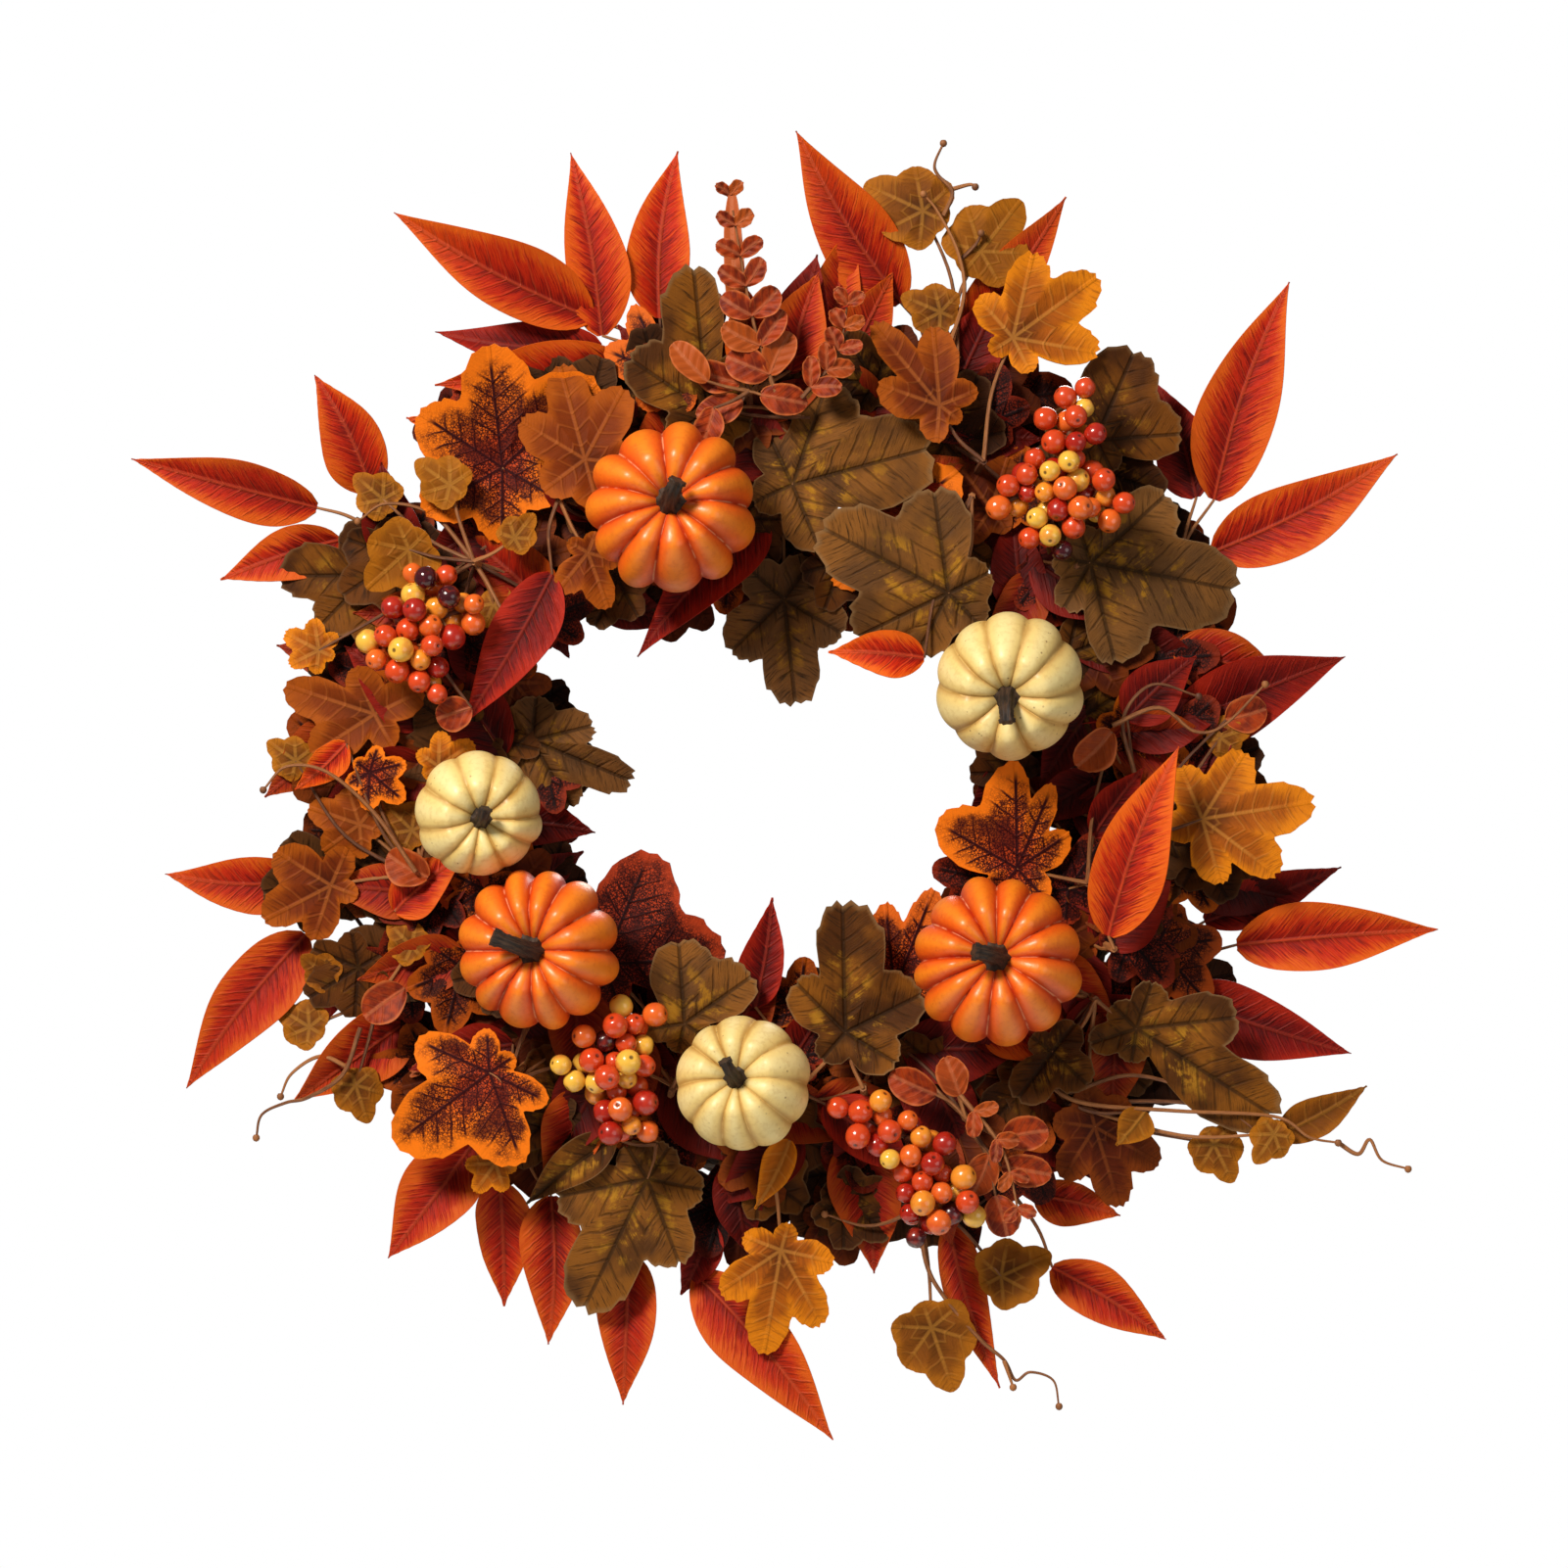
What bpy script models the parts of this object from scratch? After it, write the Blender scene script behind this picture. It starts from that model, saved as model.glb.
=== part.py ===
"""A harvest door wreath: a grapevine ring, a wire hanger, six pumpkins on picks, and leaf and berry sprays.

Metres, +Z up. The wreath faces -Y. The origin is the hook's seat, inside the top of the hanger loop.
Places in the spray tables are millimetres right of and above the ring's centre, and a tier is a layer of
foliage: 0 lies just in front of the ring, higher tiers lie further forward, and negative ones beside it.
"""

from math import atan2, cos, hypot, pi, radians, sin, sqrt, tau

import bmesh
import bpy
from mathutils import Matrix, Vector

MM = 0.001

# Ring
RING_RADIUS = 0.122
STRAND_RADIUS = 0.0068
STRAND_COUNT = 4
STRAND_TWISTS = 3
STRAND_POINTS = 36
CLEARANCE = 0.0004

# Hanger
BAND_WIDTH = 0.008
BAND_THICKNESS = 0.0012
BAND_SEGMENTS = 20
LUG_SPACING = 0.006
LUG_THICKNESS = 0.0016
LUG_RADIUS = 0.003
LOOP_WIRE_RADIUS = 0.001
LOOP_HALF_WIDTH = 0.009
LOOP_HEIGHT = 0.023
PIN_CLEARANCE = 0.0003

# Foliage
LAYOUT_RADIUS = 0.122
TIER_START = 0.0035
TIER_PITCH = 0.0045
BLADE_HEIGHT = 0.002
BLADE_STEP = 0.0003
LOBE_RISE = 0.035
STEM_RADIUS = 0.0014
PETIOLE_RADIUS = 0.0011
LEAF_MIDRIB = 0.35
TUBE_TILT = radians(11)
BERRY_RADIUS = 0.0042
BERRY_SPACING = 0.0085
BERRY_OFFSET = 0.0034
BERRY_DEPTH = 0.031

# Pumpkins
PUMPKIN_DEPTH = 0.034
PUMPKIN_FLATNESS = 0.84
PUMPKIN_DIMPLE = 0.24
PUMPKIN_RINGS = 8
PICK_RADIUS = 0.0016

HELIX_RADIUS = (2 * STRAND_RADIUS + CLEARANCE) / cos(pi * STRAND_TWISTS / STRAND_POINTS)
BUNDLE_RADIUS = HELIX_RADIUS + STRAND_RADIUS
BAND_INNER = (BUNDLE_RADIUS + CLEARANCE) / cos(pi / BAND_SEGMENTS)
AXIS_BEHIND = BAND_INNER + BAND_THICKNESS + LUG_RADIUS
SEAT_ABOVE_AXIS = LOOP_HEIGHT - LOOP_WIRE_RADIUS
RING_CENTRE = Vector((0, -AXIS_BEHIND, -SEAT_ABOVE_AXIS - RING_RADIUS))

TWIG = (92, 68, 48)
STEM = (120, 84, 50)
STEEL = (150, 148, 142)
ORANGE = (235, 110, 20)
CREAM = (240, 220, 150)
PUMPKIN_STEM = (70, 52, 34)
CORAL = (200, 60, 20)
BURGUNDY = (110, 22, 18)
GRAPE = (95, 70, 35)
AMBER = (150, 85, 15)
MAPLE = (190, 75, 20)
IVY = (150, 100, 30)
EUCALYPTUS = (150, 60, 25)
BERRY = (230, 110, 45)


def lance(base, tip, width, lift=0):
    """A long pointed leaf. Its tip leans forward by lift."""
    return {"shape": "lance", "base": base, "tip": tip, "width": width, "lift": lift}


def lobed(centre, *tips):
    """A leaf whose veins spread from centre to the tip of each lobe."""
    return {"shape": "lobed", "centre": centre, "tips": tips}


def palmate(centre, tip):
    """A small five-lobed leaf with its largest lobe at tip."""
    length = hypot(tip[0] - centre[0], tip[1] - centre[1])
    heading = atan2(tip[1] - centre[1], tip[0] - centre[0])
    lobes = ((0, 1), (60, 0.8), (-60, 0.8), (130, 0.6), (-130, 0.6))
    ends = [(heading + radians(turn), length * share) for turn, share in lobes]
    tips = [(centre[0] + r * cos(a), centre[1] + r * sin(a)) for a, r in ends]
    return lobed(centre, *tips)


# Each spray: name, colour, hub, tier, leaves.
SPRAYS = (
    ("lance_spray_top_left", CORAL, (-43, 149), -1, (
        lance((-66, 161), (-134, 196), 25, 18),
        lance((-63, 155), (-74, 219), 22, 4),
        lance((-43, 161), (-37, 221), 22, -10),
        lance((-63, 151), (-122, 158), 18, -8),
        lance((-55, 146), (-121, 138), 22, 6),
    )),
    ("lance_spray_top", CORAL, (50, 151), -2, (
        lance((41, 167), (4, 226), 27, 8),
        lance((62, 155), (98, 204), 20, 4),
    )),
    ("lance_spray_right_high", CORAL, (135, 66), -1, (
        lance((149, 98), (175, 174), 27, 8),
        lance((148, 80), (210, 113), 25, 16),
        lance((143, 99), (129, 141), 20, -8),
        lance((142, 22), (194, 44), 27, 8),
    )),
    ("lance_spray_right_low", CORAL, (134, -58), -2, (
        lance((146, -48), (195, -29), 17, -4),
        lance((157, -56), (225, -50), 24, 16),
        lance((136, -74), (198, -94), 24, 0),
    )),
    ("lance_leaf_right_front", CORAL, (112, -56), 5, (
        lance((110, -52), (134, 13), 25, 6),
    )),
    ("lance_spray_bottom_right", CORAL, (76, -138), -2, (
        lance((87, -143), (117, -150), 16, 4),
        lance((93, -168), (132, -192), 19, 10),
        lance((57, -152), (75, -210), 15, 4),
    )),
    ("lance_spray_bottom", CORAL, (-34, -152), -2, (
        lance((-31, -170), (17, -226), 25, 14),
        lance((-54, -163), (-56, -216), 21, 4),
        lance((-26, -152), (-36, -178), 15, 0),
    )),
    ("lance_spray_bottom_left", CORAL, (-90, -124), -2, (
        lance((-81, -143), (-82, -195), 22, 4),
        lance((-99, -138), (-98, -183), 20, -6),
        lance((-108, -125), (-137, -164), 26, 12),
    )),
    ("lance_spray_left_low", CORAL, (-143, -55), -2, (
        lance((-128, -80), (-170, -110), 24, 10),
        lance((-166, -52), (-208, -106), 25, 4),
        lance((-166, -34), (-214, -31), 20, 8),
        lance((-152, -56), (-160, -84), 14, -6),
    )),
    ("lance_spray_left_high", BURGUNDY, (-142, 88), -2, (
        lance((-143, 101), (-163, 142), 22, 6),
        lance((-162, 96), (-225, 112), 20, 16),
        lance((-154, 85), (-196, 71), 19, 4),
    )),
    ("grape_spray_top", GRAPE, (9, 126), 1, (
        lobed((3, 103), (50, 115), (15, 138), (-6, 122), (12, 81)),
        lobed((-26, 128), (-31, 177), (-53, 146), (-14, 146)),
    )),
    ("grape_spray_inner", GRAPE, (64, 98), 4, (
        lobed((56, 65), (13, 87), (51, 100), (25, 50), (46, 45)),
        lance((48, 43), (15, 45), 16),
    )),
    ("grape_spray_right_high", GRAPE, (100, 74), 2, (
        lobed((105, 76), (156, 67), (131, 99), (114, 42), (96, 60)),
        lobed((107, 118), (120, 148), (136, 120), (90, 122)),
    )),
    ("grape_leaf_bottom", GRAPE, (27, -104), 3, (
        lobed((21, -85), (20, -41), (47, -72), (38, -95), (4, -68), (13, -94)),
    )),
    ("grape_leaf_bottom_left", GRAPE, (-38, -104), 3, (
        lobed((-34, -82), (-36, -54), (-11, -66), (-48, -84)),
    )),
    ("grape_spray_low", GRAPE, (-44, -124), 1, (
        lobed((-47, -136), (-69, -181), (-78, -142), (-28, -140), (-36, -165)),
        lance((-58, -122), (-89, -145), 15),
    )),
    ("grape_spray_right_low", GRAPE, (107, -74), 2, (
        lobed((121, -84), (168, -114), (155, -80), (126, -68), (105, -89)),
        lobed((92, -92), (104, -103), (80, -108), (100, -82)),
    )),
    ("grape_spray_left", GRAPE, (-113, 40), 0, (
        lobed((-87, 15), (-53, 1), (-74, -8), (-66, 20)),
        lobed((-143, 72), (-174, 72), (-160, 55), (-139, 46), (-146, 92)),
    )),
    ("shade_spray_top", BURGUNDY, (-4, 106), 0, (
        lance((-6, 92), (-51, 44), 22),
        lobed((0, 64), (4, 28), (-18, 46), (20, 52)),
    )),
    ("amber_spray_top", AMBER, (68, 110), 4, (
        lobed((78, 152), (85, 181), (107, 173), (107, 147), (66, 166), (84, 140)),
        lobed((53, 129), (51, 156), (30, 157), (32, 136), (66, 134), (52, 116)),
    )),
    ("amber_spray_left_top", AMBER, (-77, 98), 3, (
        lobed((-68, 111), (-77, 144), (-55, 136), (-90, 124)),
        lobed((-67, 79), (-77, 66), (-60, 60), (-56, 76)),
        lance((-79, 72), (-110, 20), 22, 4),
    )),
    ("amber_leaf_right", AMBER, (126, -16), 3, (
        lobed((143, -12), (158, 11), (181, -6), (168, -31), (149, -34), (136, 6)),
    )),
    ("amber_spray_bottom", AMBER, (-4, -133), 2, (
        lobed((-1, -160), (-7, -196), (13, -186), (17, -164), (-22, -174), (-14, -155)),
        lance((2, -122), (-10, -146), 12),
    )),
    ("amber_spray_left", AMBER, (-126, -32), 1, (
        lobed((-156, -35), (-179, -47), (-162, -54), (-175, -23), (-150, -22)),
        lance((-143, 20), (-169, 32), 13),
    )),
    ("maple_leaf_left_low", MAPLE, (-95, -103), 5, (
        lobed((-100, -98), (-133, -123), (-125, -87), (-101, -83), (-89, -129), (-80, -108)),
    )),
    ("maple_spray_low", BURGUNDY, (4, -106), 1, (
        lobed((-62, -62), (-46, -23), (-20, -60), (-80, -50)),
        lance((-10, -77), (-4, -39), 16),
        lobed((38, -71), (35, -41), (52, -36), (56, -70)),
        lance((14, -110), (45, -136), 20),
    )),
    ("maple_spray_left_high", MAPLE, (-88, 92), 1, (
        lobed((-99, 109), (-101, 147), (-118, 121), (-113, 91), (-64, 136)),
    )),
    ("maple_spray_right", MAPLE, (104, -34), 2, (
        lobed((80, -29), (79, 8), (92, 0), (98, -17), (52, -13)),
        lance((106, -18), (124, 6), 15),
    )),
    ("maple_spray_top", MAPLE, (51, 108), 0, (
        lobed((34, 88), (18, 68), (8, 82), (60, 108), (48, 70)),
        lance((64, 112), (76, 140), 18),
    )),
    ("ivy_vine_top", IVY, (60, 148), 0, (
        palmate((48, 198), (24, 210)),
        palmate((68, 184), (85, 206)),
        palmate((54, 163), (38, 170)),
    )),
    ("ivy_spray_bottom", IVY, (46, -142), 0, (
        palmate((30, -150), (16, -158)),
        palmate((51, -188), (60, -214)),
        palmate((75, -170), (95, -160)),
    )),
    ("ivy_vine_right", IVY, (98, -110), 1, (
        palmate((148, -124), (156, -140)),
        palmate((178, -116), (200, -105)),
    )),
    ("ivy_spray_left_high", IVY, (-106, 76), 2, (
        palmate((-128, 80), (-145, 64)),
        palmate((-114, 102), (-128, 112)),
        palmate((-92, 84), (-84, 94)),
    )),
    ("ivy_vine_left", IVY, (-140, -74), 0, (
        palmate((-164, -84), (-178, -76)),
        palmate((-148, -104), (-143, -120)),
    )),
    ("eucalyptus_spray_top", EUCALYPTUS, (-12, 134), 3, (
        lance((-13, 142), (-18, 205), 7, -8),
        lance((-15, 137), (-30, 142), 11),
        lance((-14, 131), (-30, 126), 11),
        lance((-8, 133), (8, 130), 11),
    )),
    ("eucalyptus_spray_bottom", EUCALYPTUS, (62, -114), 4, (
        lance((52, -106), (36, -99), 12),
        lance((60, -106), (55, -93), 11),
        lance((74, -121), (90, -118), 12),
        lance((70, -126), (64, -140), 12),
        lance((74, -130), (91, -133), 11),
        lance((72, -140), (76, -154), 12),
    )),
)

# Each berry spray: name, hub, and its stems as runs of points.
BERRY_SPRAYS = (
    ("berry_spray_top", (94, 98), (
        ((98, 132), (94, 98), (87, 82)),
        ((94, 98), (112, 94)),
        ((94, 104), (76, 96)),
    )),
    ("berry_spray_left", (-124, 52), (
        ((-122, 70), (-124, 52), (-121, 32)),
        ((-124, 48), (-138, 44)),
        ((-123, 54), (-106, 60)),
    )),
    ("berry_spray_bottom_left", (-56, -100), (
        ((-50, -78), (-56, -100), (-52, -120)),
        ((-56, -98), (-72, -96)),
        ((-55, -88), (-62, -84)),
    )),
    ("berry_spray_bottom", (42, -120), (
        ((22, -112), (42, -120), (50, -134), (60, -146)),
        ((50, -134), (46, -150)),
    )),
)

# Each pumpkin: name, colour, centre, radius, ribs, and where its stem stands from the centre and points.
PUMPKINS = (
    ("pumpkin_orange_top", ORANGE, (-38, 93), 29, 11, (0, 2), (3, 6)),
    ("pumpkin_cream_right", CREAM, (76, 33), 25, 10, (-3, -7), (0, -8)),
    ("pumpkin_cream_left", CREAM, (-103, -10), 21.5, 10, (3, -3), (2, 4)),
    ("pumpkin_orange_left", ORANGE, (-83, -56), 27.5, 12, (-2, 1), (-12, 5)),
    ("pumpkin_cream_bottom", CREAM, (-14, -101), 23, 10, (-4, 5), (-3, 6)),
    ("pumpkin_orange_right", ORANGE, (72, -60), 29, 12, (-2, 4), (-8, 2)),
)


def clear_scene():
    for obj in list(bpy.data.objects):
        bpy.data.objects.remove(obj)


def new_collection(name, hidden=False):
    collection = bpy.data.collections.new(name)
    bpy.context.scene.collection.children.link(collection)
    collection.hide_render = hidden
    return collection


def linear(channel):
    share = channel / 255
    return share / 12.92 if share <= 0.04045 else ((share + 0.055) / 1.055) ** 2.4


def material(name, colour, roughness=0.6, metallic=0.0):
    made = bpy.data.materials.new(name)
    made.use_nodes = True
    shader = made.node_tree.nodes["Principled BSDF"]
    shader.inputs["Base Color"].default_value = (*map(linear, colour), 1)
    shader.inputs["Roughness"].default_value = roughness
    shader.inputs["Metallic"].default_value = metallic
    made.diffuse_color = (*map(linear, colour), 1)
    return made


def add_object(name, mesh, collection, paint=None):
    obj = bpy.data.objects.new(name, mesh)
    collection.objects.link(obj)
    if paint:
        mesh.materials.clear()
        mesh.materials.append(paint)
    return obj


def mesh_from(bm, name):
    mesh = bpy.data.meshes.new(name)
    bm.to_mesh(mesh)
    bm.free()
    return mesh


def evaluated_mesh(obj, name):
    """The object's mesh with its modifiers applied."""
    graph = bpy.context.evaluated_depsgraph_get()
    mesh = bpy.data.meshes.new_from_object(obj.evaluated_get(graph))
    mesh.name = name
    return mesh


def tube_mesh(name, runs, radius, sides=1, cyclic=False, taper=None):
    """Closed tubes along runs of points, one to each run, as a mesh."""
    curve = bpy.data.curves.new(name, "CURVE")
    curve.dimensions = "3D"
    curve.bevel_depth = radius
    curve.bevel_resolution = sides
    curve.use_fill_caps = not cyclic
    for run in runs:
        spline = curve.splines.new("POLY")
        spline.points.add(len(run) - 1)
        for index, place in enumerate(run):
            spline.points[index].co = (*place, 1)
            spline.points[index].radius = taper[index] if taper else 1
            spline.points[index].tilt = TUBE_TILT
        spline.use_cyclic_u = cyclic
    guide = bpy.data.objects.new(name, curve)
    bpy.context.scene.collection.objects.link(guide)
    bpy.context.view_layer.update()
    mesh = evaluated_mesh(guide, name)
    bpy.data.objects.remove(guide)
    bm = bmesh.new()
    bm.from_mesh(mesh)
    bmesh.ops.remove_doubles(bm, verts=bm.verts, dist=1e-6)
    bm.to_mesh(mesh)
    bm.free()
    return mesh


def fused(name, first, others, collection, paint):
    """One closed body from a mesh and the closed meshes that pass through it, joined to it one after another.

    EXACT loses some of these thin blades, so the unions use MANIFOLD. Every mesh joined here is closed.
    """
    core = add_object(name, first, collection)
    for other in others:
        joining = add_object(name + "_joining", other, collection)
        union = core.modifiers.new("fuse", "BOOLEAN")
        union.operation = "UNION"
        union.solver = "MANIFOLD"
        union.object = joining
        bpy.context.view_layer.update()
        core.data = evaluated_mesh(core, name)
        core.modifiers.clear()
        bpy.data.objects.remove(joining)
    core.data.materials.clear()
    core.data.materials.append(paint)
    return core


def ring_point(angle, out=0.0, forward=0.0):
    """A point at an angle round the ring, out from its centreline and forward of it."""
    reach = RING_RADIUS + out
    return RING_CENTRE + Vector((reach * cos(angle), -forward, reach * sin(angle)))


def spread(hub):
    """How far a spray moves from where it was laid out, to follow the ring's radius."""
    direction = Vector((hub[0], 0, hub[1])).normalized()
    return direction * (RING_RADIUS - LAYOUT_RADIUS)


def tier_depth(tier):
    return BUNDLE_RADIUS + TIER_START + tier * TIER_PITCH


def placed(place, hub, forward):
    """A layout point of the spray at hub, as a point in space."""
    return RING_CENTRE + Vector((place[0] * MM, -forward, place[1] * MM)) + spread(hub)


def lance_outline(leaf):
    """Points round a long leaf, as shares along it and across it."""
    stations = ((0.22, 0.42), (0.5, 0.5), (0.78, 0.3))
    left = [(along, across) for along, across in stations]
    right = [(along, -across) for along, across in reversed(stations)]
    along_x = leaf["tip"][0] - leaf["base"][0]
    along_z = leaf["tip"][1] - leaf["base"][1]
    length = hypot(along_x, along_z)
    side_x, side_z = -along_z / length * leaf["width"], along_x / length * leaf["width"]
    points = [(0, 0), *right[::-1], (1, 0), *left[::-1]]
    return [
        (
            leaf["base"][0] + along_x * along + side_x * across,
            leaf["base"][1] + along_z * along + side_z * across,
            leaf["lift"] * along,
        )
        for along, across in points
    ]


def lobed_outline(leaf):
    """Points round a lobed leaf: its tips, the notches between, and low lobes where tips are far apart."""
    centre_x, centre_z = leaf["centre"]
    polar = sorted(
        (atan2(z - centre_z, x - centre_x), hypot(x - centre_x, z - centre_z)) for x, z in leaf["tips"]
    )
    points = []
    for index, (angle, reach) in enumerate(polar):
        next_angle, next_reach = polar[(index + 1) % len(polar)]
        gap = (next_angle - angle) % tau
        low = min(reach, next_reach)
        points.append((angle, reach))
        steps = max(1, round(gap / radians(75)))
        for step in range(1, 2 * steps):
            share = 0.52 if step % 2 else 0.66
            points.append((angle + gap * step / (2 * steps), low * share))
    return [(centre_x + r * cos(a), centre_z + r * sin(a), LOBE_RISE * r) for a, r in points]


def blade_mesh(name, leaf, hub, forward):
    """A thin leaf: its back and its front each run from the outline to the leaf's middle, and the front's middle stands higher."""
    outline = lance_outline(leaf) if leaf["shape"] == "lance" else lobed_outline(leaf)
    if leaf["shape"] == "lance":
        middle = [(leaf["base"][i] + leaf["tip"][i]) / 2 for i in (0, 1)] + [leaf["lift"] / 2]
    else:
        middle = [*leaf["centre"], 0]
    bm = bmesh.new()
    bmesh.ops.create_cone(
        bm, cap_ends=True, cap_tris=True, segments=len(outline), radius1=1, radius2=0, depth=1
    )
    bmesh.ops.remove_doubles(bm, verts=bm.verts, dist=1e-5)
    on_axis = sorted((v for v in bm.verts if hypot(v.co.x, v.co.y) < 0.5), key=lambda v: v.co.z)
    rim = sorted((v for v in bm.verts if v not in on_axis), key=lambda v: atan2(v.co.y, v.co.x) % tau)
    for vertex, (x, z, lift) in zip(rim, outline):
        vertex.co = placed((x, z), hub, forward + lift * MM)
    for vertex, height in zip(on_axis, (0, BLADE_HEIGHT)):
        vertex.co = placed(middle, hub, forward + middle[2] * MM + height)
    bmesh.ops.triangulate(bm, faces=bm.faces)
    return mesh_from(bm, name)


def petiole_run(leaf, hub, forward, at):
    """The stalk from the hub to a leaf at its own depth, and on along the leaf's midrib."""
    start = placed(hub, hub, (forward + at) / 2)
    if leaf["shape"] == "lobed":
        return [start, placed(leaf["centre"], hub, at)]
    base, tip, lift = leaf["base"], leaf["tip"], leaf["lift"] * MM
    reach = [base[i] + (tip[i] - base[i]) * LEAF_MIDRIB for i in (0, 1)]
    return [start, placed(base, hub, at), placed(reach, hub, at + lift * LEAF_MIDRIB)]


def column_run(hub, forward):
    """The stem from just in front of a hub back to the surface of the ring."""
    angle = atan2(hub[1], hub[0])
    target = ring_point(angle)
    start = placed(hub, hub, forward)
    toward = (target - start).normalized()
    end = target - toward * (BUNDLE_RADIUS + CLEARANCE + STEM_RADIUS)
    return [start - toward * STEM_RADIUS, end]


def build_spray(collection, name, colour, hub, tier, leaves):
    forward = tier_depth(tier)
    depths = [forward + BLADE_STEP * (index + 0.5) for index in range(len(leaves))]
    column = tube_mesh(name, [column_run(hub, forward)], STEM_RADIUS)
    pieces = []
    for leaf, at in zip(leaves, depths):
        pieces.append(tube_mesh(name + "_stalk", [petiole_run(leaf, hub, forward, at)], PETIOLE_RADIUS, 0))
        pieces.append(blade_mesh(name + "_blade", leaf, hub, at))
    return fused(name, column, pieces, collection, material(name, colour, 0.7))


def sphere_mesh(name, centre, radius):
    bm = bmesh.new()
    bmesh.ops.create_icosphere(bm, subdivisions=1, radius=radius, matrix=Matrix.Translation(centre))
    return mesh_from(bm, name)


def points_along(run, spacing):
    """Points at even spacing along a run, each with the run's direction there."""
    found = []
    for start, end in zip(run, run[1:]):
        step = end - start
        count = max(1, round(step.length / spacing))
        found += [(start + step * (index + 0.5) / count, step.normalized()) for index in range(count)]
    return found


def berry_centres(runs):
    """Berries close round each stem, turning by the golden angle from one to the next."""
    centres = []
    for run in runs:
        for place, direction in points_along(run, BERRY_SPACING):
            turn = len(centres) * radians(137.5)
            side = direction.cross(Vector((0, 1, 0))).normalized()
            front = side.cross(direction).normalized()
            centres.append(place + (side * cos(turn) + front * sin(turn)) * BERRY_OFFSET)
    return centres


def build_berries(collection, name, hub, stems):
    forward = BUNDLE_RADIUS + BERRY_DEPTH
    runs = [[placed(place, hub, forward) for place in stem] for stem in stems]
    column = tube_mesh(name, [column_run(hub, forward)], STEM_RADIUS)
    twigs = [tube_mesh(name + "_twig", [run], PETIOLE_RADIUS, 0) for run in runs]
    berries = [sphere_mesh(name + "_berry", centre, BERRY_RADIUS) for centre in berry_centres(runs)]
    return fused(name, column, twigs + berries, collection, material(name, BERRY, 0.3))


def pumpkin_height(share, radius):
    """How high the top of a pumpkin stands above its centre, at a share of its radius from the axis."""
    dimple = 1 - PUMPKIN_DIMPLE * max(0, 1 - (share / 0.55) ** 2)
    return radius * PUMPKIN_FLATNESS * sqrt(max(0, 1 - share**2)) * dimple


def pumpkin_mesh(name, radius, ribs):
    """A ribbed body about its own Z axis, with a dimple at each pole."""
    bm = bmesh.new()
    bmesh.ops.create_uvsphere(bm, u_segments=2 * ribs, v_segments=PUMPKIN_RINGS, radius=1)
    for vertex in bm.verts:
        share = min(1, hypot(vertex.co.x, vertex.co.y))
        angle = atan2(vertex.co.y, vertex.co.x)
        groove = 1 - 0.1 * (1 - cos(ribs * angle)) / 2
        height = pumpkin_height(share, radius)
        side = 1 if vertex.co.z > 0 else -1
        vertex.co = (
            vertex.co.x * radius * groove,
            vertex.co.y * radius * groove,
            0 if abs(vertex.co.z) < 1e-6 else side * height,
        )
    return mesh_from(bm, name)


def pumpkin_frame(centre, radius, stem_at):
    """The pumpkin's centre, and the turn that leans its axis toward its stem."""
    middle = placed(centre, centre, BUNDLE_RADIUS + PUMPKIN_DEPTH)
    lean = Vector((stem_at[0], 0, stem_at[1])) * MM / radius
    axis = (Vector((0, -1, 0)) + lean).normalized()
    return Matrix.Translation(middle) @ axis.to_track_quat("Z", "Y").to_matrix().to_4x4()


def build_pumpkin(collection, name, colour, centre, size, ribs, stem_at, stem_to):
    radius = size * MM
    frame = pumpkin_frame(centre, radius, stem_at)
    body = pumpkin_mesh(name, radius, ribs)
    body.transform(frame)
    run = column_run(centre, BUNDLE_RADIUS + PUMPKIN_DEPTH)
    pick = tube_mesh(name + "_pick", [run], PICK_RADIUS)
    fused(name, body, [pick], collection, material(name, colour, 0.5))
    build_pumpkin_stem(collection, name + "_stem", frame, radius, stem_to)


def build_pumpkin_stem(collection, name, frame, radius, stem_to):
    """A tapered stem that stands in the top dimple."""
    base_radius = radius * 0.14
    seat = pumpkin_height(sin(pi / PUMPKIN_RINGS), radius) + CLEARANCE
    reach = Vector((stem_to[0], -radius * 380, stem_to[1])) * MM
    local_reach = frame.to_3x3().inverted() @ reach
    start = Vector((0, 0, seat))
    run = [start, start + Vector((0, 0, radius * 0.12)), start + local_reach]
    stem = tube_mesh(name, [run], base_radius, 1, taper=(1.2, 0.85, 0.6))
    stem.transform(frame)
    add_object(name, stem, collection, material(name, PUMPKIN_STEM, 0.8))


def strand_points(phase=None):
    """Points along a strand: the core where phase is None, or one wound round it from that phase."""
    points = []
    for index in range(STRAND_POINTS):
        angle = tau * index / STRAND_POINTS
        out = forward = 0.0
        if phase is not None:
            out = HELIX_RADIUS * cos(STRAND_TWISTS * angle + phase)
            forward = HELIX_RADIUS * sin(STRAND_TWISTS * angle + phase)
        points.append(ring_point(angle, out, forward))
    return points


def build_ring(collection):
    paint = material("vine", TWIG, 0.9)
    core = tube_mesh("vine_core", [strand_points()], STRAND_RADIUS, 1, cyclic=True)
    add_object("vine_core", core, collection, paint)
    for index in range(STRAND_COUNT):
        name = f"vine_strand_{index + 1}"
        run = strand_points(tau * index / STRAND_COUNT)
        strand = tube_mesh(name, [run], STRAND_RADIUS, 1, cyclic=True)
        add_object(name, strand, collection, material(name, TWIG, 0.9))


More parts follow.
